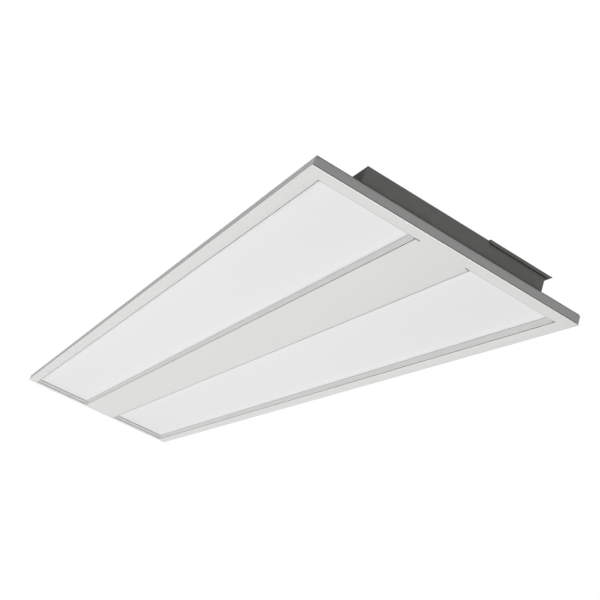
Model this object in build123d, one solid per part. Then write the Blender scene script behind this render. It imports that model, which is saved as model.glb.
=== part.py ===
from build123d import *
import os
from math import atan, degrees, radians, tan

# Recessed troffer light for one nominal 305 x 1219 mm opening of a ceiling grid.
# Sizes are in millimetres. The origin is the middle of the visible face, which points down.
# +X runs across the light, +Y along it and +Z up into the ceiling.
# "Near" is the -Y end, with the wiring compartment, and "right" is the +X side.

# ---- Face frame: one folded sheet with two openings and a flush centre strip
frame_width = 302.0
frame_length = 1213.0
frame_sheet = 0.8
frame_bend = 1.0
frame_flange = 9.0
strip_width = 61.0
side_border = 15.0
end_border = 15.0

# ---- Lens bezels: sloped walls inside the openings, with a shadow gap round them
shadow_gap = 0.8
bezel_recess = 0.2
bezel_tip = 0.6
bezel_slope = 1.4
bezel_top = 6.4
bezel_seat = 3.0

# ---- Optical stack on the bezels, from the room upwards
gasket_thickness = 0.5
gasket_width = 4.0
gasket_setback = 0.3
lens_thickness = 1.2
guide_thickness = 2.5
reflector_thickness = 0.3
foam_thickness = 0.5
foam_width = 10.0

# ---- LED rails, boards and chips on both sides of the centre strip
rail_clearance = 0.6
rail_thickness = 1.2
rail_foot = 13.0
rail_end_gap = 20.0
rail_top_gap = 0.2
board_thickness = 1.0
board_height = 3.8
board_end_gap = 2.0
chip_thickness = 0.7
chip_height = 2.0
chip_length = 3.0
chip_pitch = 14.0
chip_light_gap = 0.3
connector_length = 7.4
connector_width = 7.6
connector_height = 3.4
connector_clearance = 0.2

# ---- Back plate
back_sheet = 0.6
back_inset = 1.2
back_screw_shank = 1.4
back_screw_head = 3.0
back_screw_head_height = 1.0
back_screw_reach = 1.0
back_screw_flange_gap = 13.0
back_screw_inset = 6.2
side_screws = 6

# ---- Heads of screws and rivets: the share of their height that the rim's rounding takes
rim_rounding = 0.45

# ---- Housing shell and end plates
housing_width = 206.0
housing_end_inset = 2.0
housing_sheet = 0.8
housing_height = 18.5
housing_flange = 12.0
housing_bend = 1.2
housing_rivet_pitch = 140.0
end_flange = 11.0
end_rounding = 0.7
end_rivet_pitch = 60.0
end_rivets = 3
rivet_shank = 1.6
rivet_head = 3.0
rivet_head_height = 0.9

# ---- Hanger wire holes in the housing's top
hanger_hole = 3.25
hanger_side_inset = 13.0
hanger_end_inset = 236.5

# ---- Wiring compartment, its cover and the cover's hinge
compartment_width = 69.0
cover_wall_gap = 0.6
cover_overhang = 6.5
cover_length = 130.0
cover_sheet = 0.8
cover_gap = 0.2
cover_lip = 4.5
cover_lip_gap = 0.7
cover_bend = 0.7
cover_lip_cut = 5.0
cover_corner = 2.0
hatch_width = 47.0
hatch_length = 112.0
hatch_side_gap = 12.0
hatch_near_gap = 8.5
knuckle_radius = 1.8
knuckle_length = 16.0
knuckle_gap = 0.4
knuckles = 7
knuckle_side_gap = 0.4
pin_radius = 1.0
pin_fit = 0.05
pin_head_radius = 1.5
pin_head_length = 0.8
leaf_width = 14.0
leaf_rivets = 3
leaf_rivet_pitch = 42.0
cover_screw_inset = 4.4
cover_screw_shank = 2.0
cover_screw_length = 6.0
cover_screw_head = 4.2
cover_screw_head_height = 2.4
cover_screw_slot_length = 5.9
cover_screw_slot_width = 1.0
cover_screw_slot_depth = 1.1
cover_screw_swing_room = 0.8
compartment_wall_gap = 4.0
passage_width = 30.0
passage_height = 9.0
passage_edge = 1.2

# ---- Cable bushing in the cover's 22.2 mm knock-out
knockout_radius = 11.1
bushing_fit = 0.2
bushing_bore = 8.0
bushing_flange_radius = 13.5
bushing_flange_height = 1.6
bushing_depth = 7.0
bushing_lug = 0.7
bushing_lug_height = 2.2
bushing_from_wall = 34.0
bushing_from_lip = 44.0

# ---- Terminal block and ground screw
terminal_width = 31.0
terminal_length = 15.0
terminal_height = 13.0
terminal_pitch = 9.0
terminal_ways = 3
terminal_from_wall = 34.0
terminal_entry_radius = 1.9
terminal_entry_depth = 6.0
terminal_wall_gap = 8.0
terminal_chamfer = 1.0
ground_screw_inset = 9.0
ground_washer_radius = 4.0
ground_washer_height = 1.0
ground_screw_head = 3.0
ground_screw_head_height = 2.2

# ---- LED driver
driver_length = 280.0
driver_width = 30.0
driver_height = 16.0
driver_sheet = 0.8
driver_x = 55.0
driver_wall_gap = 44.0
driver_ear = 12.0
driver_screw_radius = 1.8
driver_screw_head = 3.4
driver_screw_head_height = 1.8
driver_pillar_inset = 7.5
circuit_thickness = 1.6
circuit_gap = 1.2
circuit_standoff = 2.4
winding_chamfer = 1.5
transformer_size = (22.0, 34.0, 8.4)
transformer_offset = 0.0
choke_size = (16.0, 18.0, 7.0)
choke_offset = -40.0
capacitor_radius = 4.8
capacitor_height = 8.6
capacitor_rim = 0.8
capacitor_offsets = (-96.0, -70.0, 88.0)

# ---- Leads
mains_lead_diameter = 2.6
mains_lead_pitch = 7.2
mains_lead_sag = 0.8
low_volt_lead_diameter = 2.0
low_volt_lead_heights = (10.0, 14.0)
low_volt_lead_spread = 6.0
low_volt_lead_reach = 34.0
low_volt_lead_run_in = 46.0
lead_drop_run = 8.0
lead_drop_y = 0.0
lead_straight = 9.0
lead_arc_share = 0.45
grommet_bore = 2.4
grommet_radius = 4.6
grommet_neck = 3.4
grommet_height = 1.8

# ---- Swing-out grid clips
clip_sheet = 1.2
clip_bend = 1.1
clip_width = 14.0
clip_pivot_side_inset = 11.0
clip_pivot_end_inset = 151.5
clip_gap = 0.2
clip_leg_inset = 4.0
clip_leg_height = 12.5
clip_overhang = 9.0
clip_hook = 6.0
clip_pivot_radius = 2.0
clip_pivot_fit = 0.05
clip_rivet_head = 4.2
clip_rivet_head_height = 1.4
clip_rivet_tail = 3.2

# ---- How far an edge may lie from a plane and still count as on it
on_plane = 0.01

# ---- Places worked out from the sizes above
half_width = frame_width / 2
half_length = frame_length / 2
opening_inner_x = strip_width / 2
opening_outer_x = half_width - side_border
opening_half_y = half_length - end_border
opening_middle_x = (opening_inner_x + opening_outer_x) / 2
opening_width = opening_outer_x - opening_inner_x

lens_z = bezel_top + gasket_thickness
guide_z = lens_z + lens_thickness
reflector_z = guide_z + guide_thickness
foam_z = reflector_z + reflector_thickness
frame_height = foam_z + foam_thickness
back_z = frame_height
floor_z = back_z + back_sheet

rail_face_x = opening_inner_x - bezel_seat - rail_clearance
board_face_x = rail_face_x + board_thickness
chip_face_x = board_face_x + chip_thickness
stack_inner_x = chip_face_x + chip_light_gap
stack_outer_x = opening_outer_x + bezel_seat
stack_half_y = opening_half_y + bezel_seat
guide_middle_z = guide_z + guide_thickness / 2
lead_drop_x = rail_face_x - connector_length - lead_drop_run
rail_half_y = half_length - rail_end_gap
board_half_y = rail_half_y - board_end_gap

housing_half = housing_width / 2
housing_top = floor_z + housing_height
housing_under = housing_top - housing_sheet
housing_half_y = half_length - housing_end_inset
shell_half_y = housing_half_y - housing_sheet
back_screws_end_x = housing_half + housing_flange + back_screw_flange_gap
hanger_spacing_x = housing_width - 2 * hanger_side_inset
hanger_spacing_y = frame_length - 2 * hanger_end_inset

compartment_wall_x = housing_half - compartment_width
hatch_left = compartment_wall_x + hatch_side_gap
terminal_x = compartment_wall_x + terminal_from_wall
bushing_x = compartment_wall_x + bushing_from_wall
ground_screw_x = housing_half - ground_screw_inset

cover_z = housing_top + cover_gap
cover_left = compartment_wall_x + cover_wall_gap
cover_right = housing_half + cover_overhang
cover_screw_x = housing_half - cover_screw_inset
cover_near = -housing_half_y - cover_lip_gap - cover_sheet
cover_far = cover_near + cover_length
cover_middle_y = (cover_near + cover_far) / 2
hatch_near = -shell_half_y + hatch_near_gap
hatch_far = hatch_near + hatch_length
hinge_x = cover_left - knuckle_radius - knuckle_side_gap
hinge_z = cover_z + knuckle_radius
hinge_length = knuckles * knuckle_length
wall_y = cover_far + compartment_wall_gap

driver_near = wall_y + driver_wall_gap
driver_far = driver_near + driver_length
driver_top = floor_z + driver_height
circuit_z = floor_z + driver_sheet + circuit_standoff
parts_z = circuit_z + circuit_thickness

clip_z = housing_top + clip_gap
clip_pivot_x = housing_half - clip_pivot_side_inset
clip_pivot_y = half_length - clip_pivot_end_inset
clip_leg_x = half_width - clip_leg_inset
clip_leg_top = clip_z + clip_leg_height
clip_reach = half_width + clip_overhang


# ---- Helpers

def slab(x0, x1, y0, y1, z0, z1):
    """A box from its lowest to its highest corner."""
    return Pos((x0 + x1) / 2, (y0 + y1) / 2, (z0 + z1) / 2) * Box(x1 - x0, y1 - y0, z1 - z0)


def rod(x, y, z0, z1, radius):
    """An upright cylinder."""
    return Pos(x, y, (z0 + z1) / 2) * Cylinder(radius, z1 - z0)


def rods(places, z0, z1, radius):
    """Upright cylinders of one size at a list of places."""
    return [rod(x, y, z0, z1, radius) for x, y in places]


def rod_along_y(x, y0, y1, z, radius):
    """A cylinder that lies along Y."""
    return Pos(x, (y0 + y1) / 2, z) * Rot(90, 0, 0) * Cylinder(radius, y1 - y0)


def both_sides(name, right_piece):
    """The right-hand piece and its mirror image, under their two names."""
    return {name + "_right": right_piece, name + "_left": mirror(right_piece, about=Plane.YZ)}


def along(count, pitch, middle=0.0):
    """Evenly pitched places about a middle."""
    return [middle + (i - (count - 1) / 2) * pitch for i in range(count)]


def group(solids):
    """Separate solids of one kind, kept as one node."""
    return Compound(children=[s.solid() for s in solids])


def edges_at(piece, axis, tests):
    """Edges along an axis whose middles lie on every wanted plane."""
    found = piece.edges().filter_by(axis)
    for plane_axis, value in tests:
        found = found.filter_by_position(plane_axis, value - on_plane, value + on_plane)
    return found


def headed_pins(places, top, head_radius, head_height, shank_radius, bottom):
    """Screws or rivets: a low rounded head on a plain shank, one at each place."""
    made = []
    for x, y in places:
        head = rod(x, y, top, top + head_height, head_radius)
        head = fillet(head.edges().sort_by(Axis.Z)[-1], head_height * rim_rounding)
        made.append(head + rod(x, y, bottom, top, shank_radius))
    return group(made)


def lead(points, diameter):
    """A round lead of straight runs joined by arcs as large as the runs allow."""
    corners = [Vector(*point) for point in points]
    radii = []
    for before, at, after in zip(corners, corners[1:], corners[2:]):
        turn = radians((at - before).get_angle(after - at))
        shorter = min((at - before).length, (after - at).length)
        radii.append(lead_arc_share * shorter / tan(turn / 2))
    path = FilletPolyline(*points, radius=radii)
    start = Plane(origin=path @ 0, z_dir=path % 0)
    tube = sweep(start * Circle(diameter / 2), path=path)
    print("lead radii", [round(r, 1) for r in radii], "length", round(path.length, 1))
    return tube


# ---- Face frame

def back_screw_places():
    """Where the back plate is screwed down to the frame's top flange."""
    side_x = half_width - back_screw_inset
    end_y = half_length - back_screw_inset
    pitch = 2 * opening_half_y / (side_screws - 1)
    sides = [(s * side_x, y) for s in (-1, 1) for y in along(side_screws, pitch)]
    ends = [(x * back_screws_end_x, s * end_y) for x in (-1, 1) for s in (-1, 1)]
    return sides + ends


def face_frame():
    """The white face with its upturned walls, top flange, two openings and centre strip."""
    body = slab(-half_width, half_width, -half_length, half_length, 0, frame_height)
    bottom_edges = body.faces().sort_by(Axis.Z)[0].edges()
    body = fillet(bottom_edges, frame_bend)
    inner_x = half_width - frame_sheet
    inner_y = half_length - frame_sheet
    body -= slab(-inner_x, inner_x, -inner_y, inner_y, frame_sheet, frame_height - frame_sheet)
    mouth_x = half_width - frame_flange
    mouth_y = half_length - frame_flange
    body -= slab(-mouth_x, mouth_x, -mouth_y, mouth_y, frame_height - frame_sheet, frame_height)
    for side in (-1, 1):
        x0, x1 = sorted((side * opening_inner_x, side * opening_outer_x))
        body -= slab(x0, x1, -opening_half_y, opening_half_y, 0, frame_sheet)
    body -= rods(back_screw_places(), frame_height - frame_sheet, frame_height, back_screw_shank)
    return body


# ---- Lens bezels and optical stack (right-hand pieces)

def ring(x0, x1, half_y, width, z0, z1):
    """A flat rectangular ring of one width."""
    return slab(x0, x1, -half_y, half_y, z0, z1) - slab(
        x0 + width, x1 - width, -half_y + width, half_y - width, z0, z1)


def bezel():
    """A moulded rim: it stands on the face sheet and slopes up from the opening's edge."""
    block = slab(opening_inner_x - bezel_seat, stack_outer_x, -stack_half_y, stack_half_y,
                 frame_sheet, bezel_top)
    tongue = slab(opening_inner_x + shadow_gap, opening_outer_x - shadow_gap,
                  -opening_half_y + shadow_gap, opening_half_y - shadow_gap,
                  bezel_recess, frame_sheet)
    inset = shadow_gap + bezel_tip
    rise = bezel_top - bezel_recess
    mouth = Pos(opening_middle_x, 0, bezel_recess) * Rectangle(
        opening_width - 2 * inset, 2 * (opening_half_y - inset))
    hollow = extrude(mouth, amount=rise, taper=degrees(atan(bezel_slope / rise)))
    return block + tongue - hollow


def gasket():
    """The thin strip between bezel and lens, seen from below as a fine line."""
    inset = shadow_gap + bezel_tip + bezel_slope + gasket_setback
    x0 = opening_inner_x + inset - gasket_width
    x1 = opening_outer_x - inset + gasket_width
    half_y = opening_half_y - inset + gasket_width
    return ring(x0, x1, half_y, gasket_width, bezel_top, lens_z)


def layer(z0, z1):
    """One full layer of the optical stack."""
    return slab(stack_inner_x, stack_outer_x, -stack_half_y, stack_half_y, z0, z1)


def foam_strips():
    """Soft strips that press the stack down, two above each lens."""
    strips = []
    third = (stack_outer_x - stack_inner_x) / 3
    for side in (-1, 1):
        for step in (1, 2):
            x = side * (stack_inner_x + step * third)
            strips.append(slab(x - foam_width / 2, x + foam_width / 2,
                               -opening_half_y, opening_half_y, foam_z, back_z))
    return group(strips)


# ---- LED rails, boards and chips (right-hand pieces)

def led_rail():
    """An angle of sheet aluminium that carries a board and spreads its heat to the strip."""
    foot = slab(rail_face_x - rail_foot, rail_face_x, -rail_half_y, rail_half_y,
                frame_sheet, frame_sheet + rail_thickness)
    leg = slab(rail_face_x - rail_thickness, rail_face_x, -rail_half_y, rail_half_y,
               frame_sheet, back_z - rail_top_gap)
    notch_half = connector_width / 2 + connector_clearance
    notch_z = guide_middle_z - connector_height / 2 - connector_clearance
    notch = slab(rail_face_x - rail_thickness, rail_face_x, lead_drop_y - notch_half,
                 lead_drop_y + notch_half, notch_z, back_z - rail_top_gap)
    return foot + leg - notch


def led_board():
    """The narrow circuit strip on the rail's outer face."""
    return slab(rail_face_x, board_face_x, -board_half_y, board_half_y,
                guide_middle_z - board_height / 2, guide_middle_z + board_height / 2)


def led_chips():
    """A row of chips that shine into the light guide's edge."""
    count = int((2 * board_half_y - chip_length) / chip_pitch)
    return group([slab(board_face_x, chip_face_x, y - chip_length / 2, y + chip_length / 2,
                       guide_middle_z - chip_height / 2, guide_middle_z + chip_height / 2)
                  for y in along(count, chip_pitch)])


def board_connector():
    """The plug-in connector that reaches through the rail to the board."""
    return slab(rail_face_x - connector_length, rail_face_x,
                lead_drop_y - connector_width / 2, lead_drop_y + connector_width / 2,
                guide_middle_z - connector_height / 2, guide_middle_z + connector_height / 2)


# ---- Back plate

def lead_drops():
    """Where the two low-voltage leads pass down through the back plate."""
    return [(-lead_drop_x, lead_drop_y), (lead_drop_x, lead_drop_y)]


def housing_rivet_places():
    """Rivets through the housing's side flanges."""
    count = int(2 * shell_half_y / housing_rivet_pitch)
    x = housing_half + housing_flange / 2
    return [(s * x, y) for s in (-1, 1) for y in along(count, housing_rivet_pitch)]


def end_rivet_places(side):
    """Rivets through an end plate's foot."""
    y = side * (shell_half_y - end_flange / 2)
    return [(x, y) for x in along(end_rivets, end_rivet_pitch)]


def driver_screw_places():
    """Screws through the two ears of the driver."""
    return [(driver_x, driver_near - driver_ear / 2), (driver_x, driver_far + driver_ear / 2)]


def back_plate():
    """The flat sheet that closes the frame and carries the housing."""
    x = half_width - back_inset
    y = half_length - back_inset
    sheet = slab(-x, x, -y, y, back_z, floor_z)
    sheet -= rods(back_screw_places(), back_z, floor_z, back_screw_shank)
    riveted = housing_rivet_places() + end_rivet_places(-1) + end_rivet_places(1)
    sheet -= rods(riveted, back_z, floor_z, rivet_shank)
    sheet -= rods(lead_drops(), back_z, floor_z, grommet_neck)
    sheet -= rods(driver_screw_places(), back_z, floor_z, driver_screw_radius)
    return sheet


def grommets():
    """Rubber rings that line the two lead holes."""
    made = []
    for x, y in lead_drops():
        middle = (back_z + floor_z) / 2
        collar = rod(x, y, middle - grommet_height / 2, middle + grommet_height / 2, grommet_radius)
        groove = rod(x, y, back_z, floor_z, grommet_radius) - rod(x, y, back_z, floor_z, grommet_neck)
        bore = rod(x, y, middle - grommet_height / 2, middle + grommet_height / 2, grommet_bore)
        made.append(collar - groove - bore)
    return group(made)


# ---- Housing

def hanger_places():
    """The four hanger wire holes."""
    return [(x * hanger_spacing_x / 2, y * hanger_spacing_y / 2) for x in (-1, 1) for y in (-1, 1)]


def clip_places():
    """The four grid clip pivots."""
    return [(x * clip_pivot_x, y * clip_pivot_y) for x in (-1, 1) for y in (-1, 1)]


def leaf_rivet_places():
    """Rivets that hold the cover's hinge leaf."""
    x = hinge_x - knuckle_radius - knuckle_side_gap - leaf_width / 2
    return [(x, y) for y in along(leaf_rivets, leaf_rivet_pitch, cover_middle_y)]


def housing_shell():
    """A long folded channel with side flanges, a wiring hatch and its holes."""
    outer = slab(-housing_half, housing_half, -shell_half_y, shell_half_y, floor_z, housing_top)
    top_edges = edges_at(outer, Axis.Y, [(Axis.Z, housing_top)])
    outer = fillet(top_edges, housing_bend)
    inner_x = housing_half - housing_sheet
    shell = outer - slab(-inner_x, inner_x, -shell_half_y, shell_half_y, floor_z, housing_under)
    for side in (-1, 1):
        x0, x1 = sorted((side * inner_x, side * (housing_half + housing_flange)))
        shell += slab(x0, x1, -shell_half_y, shell_half_y, floor_z, floor_z + housing_sheet)
    shell -= slab(hatch_left, hatch_left + hatch_width, hatch_near, hatch_far,
                  housing_under, housing_top)
    shell -= rods(hanger_places(), housing_under, housing_top, hanger_hole)
    shell -= rods(clip_places(), housing_under, housing_top, clip_pivot_radius)
    shell -= rods(leaf_rivet_places(), housing_under, housing_top, rivet_shank)
    shell -= rods(housing_rivet_places(), floor_z, floor_z + housing_sheet, rivet_shank)
    screw_room = cover_screw_shank + cover_screw_swing_room
    shell -= rod(cover_screw_x, cover_middle_y, housing_under, housing_top, screw_room)
    return shell


def end_plate(side):
    """The plain wall that closes one end of the housing, with an inward foot."""
    y0, y1 = sorted((side * shell_half_y, side * housing_half_y))
    wall = slab(-housing_half, housing_half, y0, y1, floor_z, housing_top)
    outer_face = wall.faces().sort_by(Axis.Y)[0 if side < 0 else -1]
    foot_edge = outer_face.edges().sort_by(Axis.Z)[0]
    wall = fillet(outer_face.edges() - [foot_edge], end_rounding)
    f0, f1 = sorted((side * (shell_half_y - end_flange), side * shell_half_y))
    foot_half = housing_half - housing_sheet - housing_bend
    foot = slab(-foot_half, foot_half, f0, f1, floor_z, floor_z + housing_sheet)
    foot -= rods(end_rivet_places(side), floor_z, floor_z + housing_sheet, rivet_shank)
    return wall + foot


def compartment_wall():
    """The folded wall that parts the wiring compartment from the driver."""
    far_x = housing_half - housing_sheet
    foot_top = floor_z + housing_sheet
    across = slab(compartment_wall_x, far_x, wall_y, wall_y + housing_sheet, floor_z, housing_under)
    near_end = -shell_half_y
    beside = slab(compartment_wall_x, compartment_wall_x + housing_sheet, near_end,
                  wall_y + housing_sheet, foot_top, housing_under)
    x0 = terminal_x - passage_width / 2
    z0 = floor_z + terminal_height / 2 - passage_height / 2
    passage = slab(x0, x0 + passage_width, wall_y, wall_y + housing_sheet, z0, z0 + passage_height)
    return across + beside - passage


def wall_grommet():
    """A moulded edge round the passage for the mains leads."""
    x0 = terminal_x - passage_width / 2
    z0 = floor_z + terminal_height / 2 - passage_height / 2
    y0 = wall_y - passage_edge
    y1 = wall_y + housing_sheet + passage_edge
    collar = slab(x0 - passage_edge, x0 + passage_width + passage_edge, y0, y1,
                  z0 - passage_edge, z0 + passage_height + passage_edge)
    sheet = slab(x0 - 2 * passage_edge, x0 + passage_width + 2 * passage_edge, wall_y,
                 wall_y + housing_sheet, z0 - 2 * passage_edge, z0 + passage_height + 2 * passage_edge)
    opening = slab(x0, x0 + passage_width, wall_y, wall_y + housing_sheet, z0, z0 + passage_height)
    bore = slab(x0 + passage_edge, x0 + passage_width - passage_edge, y0, y1,
                z0 + passage_edge, z0 + passage_height - passage_edge)
    return collar - (sheet - opening) - bore


# ---- Cover, hinge, screw and bushing

def knuckle_spans(first):
    """The Y spans of every other knuckle, with a small gap at each end."""
    start = cover_middle_y - hinge_length / 2
    spans = []
    for i in range(first, knuckles, 2):
        y0 = start + i * knuckle_length + knuckle_gap / 2
        spans.append((y0, y0 + knuckle_length - knuckle_gap))
    return spans


def knuckle(y0, y1, plate_x, plate_z, bore):
    """A rolled knuckle and the short tongue that joins it to its plate."""
    barrel = rod_along_y(hinge_x, y0, y1, hinge_z, knuckle_radius)
    x0, x1 = sorted((hinge_x, plate_x))
    tongue = slab(x0, x1, y0, y1, plate_z, plate_z + cover_sheet)
    return barrel + tongue - rod_along_y(hinge_x, y0, y1, hinge_z, bore)


def hinge_leaf():
    """The fixed leaf on the housing, with knuckles at both ends of the hinge."""
    x1 = hinge_x - knuckle_radius - knuckle_side_gap
    leaf = slab(x1 - leaf_width, x1, cover_middle_y - hinge_length / 2,
                cover_middle_y + hinge_length / 2, housing_top, housing_top + cover_sheet)
    for y0, y1 in knuckle_spans(0):
        leaf += knuckle(y0, y1, x1, housing_top, pin_radius)
    return leaf - rods(leaf_rivet_places(), housing_top, housing_top + cover_sheet, rivet_shank)


def hinge_pin():
    """The steel pin, with a flattened head at each end."""
    y0 = cover_middle_y - hinge_length / 2
    y1 = cover_middle_y + hinge_length / 2
    pin = rod_along_y(hinge_x, y0, y1, hinge_z, pin_radius)
    pin += rod_along_y(hinge_x, y0 - pin_head_length, y0, hinge_z, pin_head_radius)
    pin += rod_along_y(hinge_x, y1, y1 + pin_head_length, hinge_z, pin_head_radius)
    return pin


def bushing_y():
    """Where the knock-out lies along the cover."""
    return cover_near + bushing_from_lip


def access_cover():
    """The flat cover with a short lip over the housing's end and an edge to lift it by."""
    plate = slab(cover_left, cover_right, cover_near, cover_far, cover_z, cover_z + cover_sheet)
    corners = edges_at(plate, Axis.Z, [(Axis.Y, cover_far), (Axis.X, cover_right)])
    plate = fillet(corners, cover_corner)
    lip_foot = cover_z + cover_sheet - cover_lip
    lip = Plane.XZ.offset(-cover_near - cover_sheet) * Polygon(
        (cover_left, lip_foot), (cover_right - cover_lip_cut, lip_foot), (cover_right, cover_z),
        (cover_right, cover_z + cover_sheet), (cover_left, cover_z + cover_sheet), align=None)
    plate += extrude(lip, amount=cover_sheet)
    plate = fillet(edges_at(plate, Axis.X, [(Axis.Y, cover_near), (Axis.Z, cover_z + cover_sheet)]),
                   cover_bend)
    for y0, y1 in knuckle_spans(1):
        plate += knuckle(y0, y1, cover_left, cover_z, pin_radius + pin_fit)
    plate -= rod(bushing_x, bushing_y(), cover_z, cover_z + cover_sheet, knockout_radius)
    plate -= rod(cover_screw_x, cover_middle_y, cover_z, cover_z + cover_sheet, cover_screw_shank)
    return plate


def cover_screw():
    """A captive hexagon-headed screw with a cross slot."""
    top = cover_z + cover_sheet
    head = Pos(cover_screw_x, cover_middle_y, top) * extrude(
        RegularPolygon(cover_screw_head, 6), amount=cover_screw_head_height)
    shank = rod(cover_screw_x, cover_middle_y, cover_z - cover_screw_length, top, cover_screw_shank)
    slot = Pos(cover_screw_x, cover_middle_y, top + cover_screw_head_height) * Box(
        cover_screw_slot_length, cover_screw_slot_width, 2 * cover_screw_slot_depth)
    cross = Pos(cover_screw_x, cover_middle_y, top + cover_screw_head_height) * Box(
        cover_screw_slot_width, cover_screw_slot_length, 2 * cover_screw_slot_depth)
    return head + shank - slot - cross


def cable_bushing():
    """A snap-in bushing that lines the knock-out for the supply cable."""
    y = bushing_y()
    top = cover_z + cover_sheet
    barrel_radius = knockout_radius - bushing_fit
    body = rod(bushing_x, y, top, top + bushing_flange_height, bushing_flange_radius)
    body = fillet(body.edges().sort_by(Axis.Z)[-1], bushing_flange_height * rim_rounding)
    body += rod(bushing_x, y, cover_z - bushing_depth + cover_sheet, top, barrel_radius)
    lug_top = cover_z - bushing_fit
    body += rod(bushing_x, y, lug_top - bushing_lug_height, lug_top, barrel_radius + bushing_lug)
    return body - rod(bushing_x, y, cover_z - bushing_depth + cover_sheet,
                      top + bushing_flange_height, bushing_bore)


# ---- Terminal block and ground screw

def terminal_near():
    """The terminal block's near face."""
    return wall_y - terminal_wall_gap - terminal_length


def terminal_block():
    """A push-in block with three ways, open to both sides."""
    y0 = terminal_near()
    y1 = y0 + terminal_length
    x0 = terminal_x - terminal_width / 2
    block = slab(x0, x0 + terminal_width, y0, y1, floor_z, floor_z + terminal_height)
    z = floor_z + terminal_height / 2
    for x in along(terminal_ways, terminal_pitch, terminal_x):
        block -= rod_along_y(x, y0, y0 + terminal_entry_depth, z, terminal_entry_radius)
    top_edges = block.faces().sort_by(Axis.Z)[-1].edges()
    return chamfer(top_edges, terminal_chamfer)


def ground_screw():
    """A washer-headed screw on the compartment's floor."""
    y = terminal_near()
    washer_top = floor_z + ground_washer_height
    washer = rod(ground_screw_x, y, floor_z, washer_top, ground_washer_radius)
    head = Pos(ground_screw_x, y, washer_top) * extrude(
        RegularPolygon(ground_screw_head, 6), amount=ground_screw_head_height)
    return washer + head


# ---- LED driver

def driver_case():
    """A folded tray with two ears and short pillars for its circuit board."""
    x0 = driver_x - driver_width / 2
    x1 = driver_x + driver_width / 2
    lid_z = driver_top - driver_sheet
    tray = slab(x0, x1, driver_near, driver_far, floor_z, lid_z)
    tray -= slab(x0 + driver_sheet, x1 - driver_sheet, driver_near + driver_sheet,
                 driver_far - driver_sheet, floor_z + driver_sheet, lid_z)
    ears = slab(driver_x - driver_ear / 2, driver_x + driver_ear / 2, driver_near - driver_ear,
                driver_far + driver_ear, floor_z, floor_z + driver_sheet)
    tray += ears
    for x in (x0 + driver_pillar_inset, x1 - driver_pillar_inset):
        for y in (driver_near + driver_ear, driver_far - driver_ear):
            tray += rod(x, y, floor_z + driver_sheet, circuit_z, driver_screw_radius)
    tray -= rods(driver_screw_places(), floor_z, floor_z + driver_sheet, driver_screw_radius)
    return tray


def driver_lid():
    """The driver's top plate."""
    return slab(driver_x - driver_width / 2, driver_x + driver_width / 2, driver_near, driver_far,
                driver_top - driver_sheet, driver_top)


def driver_circuit():
    """The driver's circuit board."""
    half = driver_width / 2 - driver_sheet - circuit_gap
    inset = driver_sheet + circuit_gap
    return slab(driver_x - half, driver_x + half, driver_near + inset, driver_far - inset,
                circuit_z, parts_z)


def block_on_circuit(size, along_y):
    """A wound part as a chamfered block on the circuit board."""
    width, length, height = size
    y = (driver_near + driver_far) / 2 + along_y
    block = slab(driver_x - width / 2, driver_x + width / 2, y - length / 2, y + length / 2,
                 parts_z, parts_z + height)
    return chamfer(block.edges().filter_by(Axis.Z), winding_chamfer)


def driver_capacitors():
    """Upright capacitors on the circuit board."""
    middle = (driver_near + driver_far) / 2
    cans = rods([(driver_x, middle + y) for y in capacitor_offsets],
                parts_z, parts_z + capacitor_height, capacitor_radius)
    return group([fillet(can.edges().sort_by(Axis.Z)[-1], capacitor_rim) for can in cans])


# ---- Leads held inside the housing

def mains_lead(way):
    """A lead from the driver's near end to one way of the terminal block."""
    start_x = driver_x + way * mains_lead_pitch
    end_x = terminal_x + way * terminal_pitch
    z = floor_z + terminal_height / 2
    end_y = terminal_near() + terminal_length
    sag = mains_lead_sag * (way + 2)
    return lead([(start_x, driver_near, z), (start_x, driver_near - lead_straight, z),
                 ((start_x + end_x) / 2, (driver_near + end_y) / 2, z - sag),
                 (end_x, end_y + lead_straight, z), (end_x, end_y, z)],
                mains_lead_diameter)


def low_volt_lead(side, height):
    """A lead from the driver's far end, through the back plate, to a board connector."""
    z = floor_z + height
    start_x = driver_x - side * low_volt_lead_spread
    drop_x = side * lead_drop_x
    return lead([(start_x, driver_far, z), (start_x, driver_far + low_volt_lead_reach, z),
                 (drop_x, lead_drop_y - low_volt_lead_run_in, z), (drop_x, lead_drop_y, z),
                 (drop_x, lead_drop_y, guide_middle_z),
                 (side * (rail_face_x - connector_length), lead_drop_y, guide_middle_z)],
                low_volt_lead_diameter)


# ---- Grid clips

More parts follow.
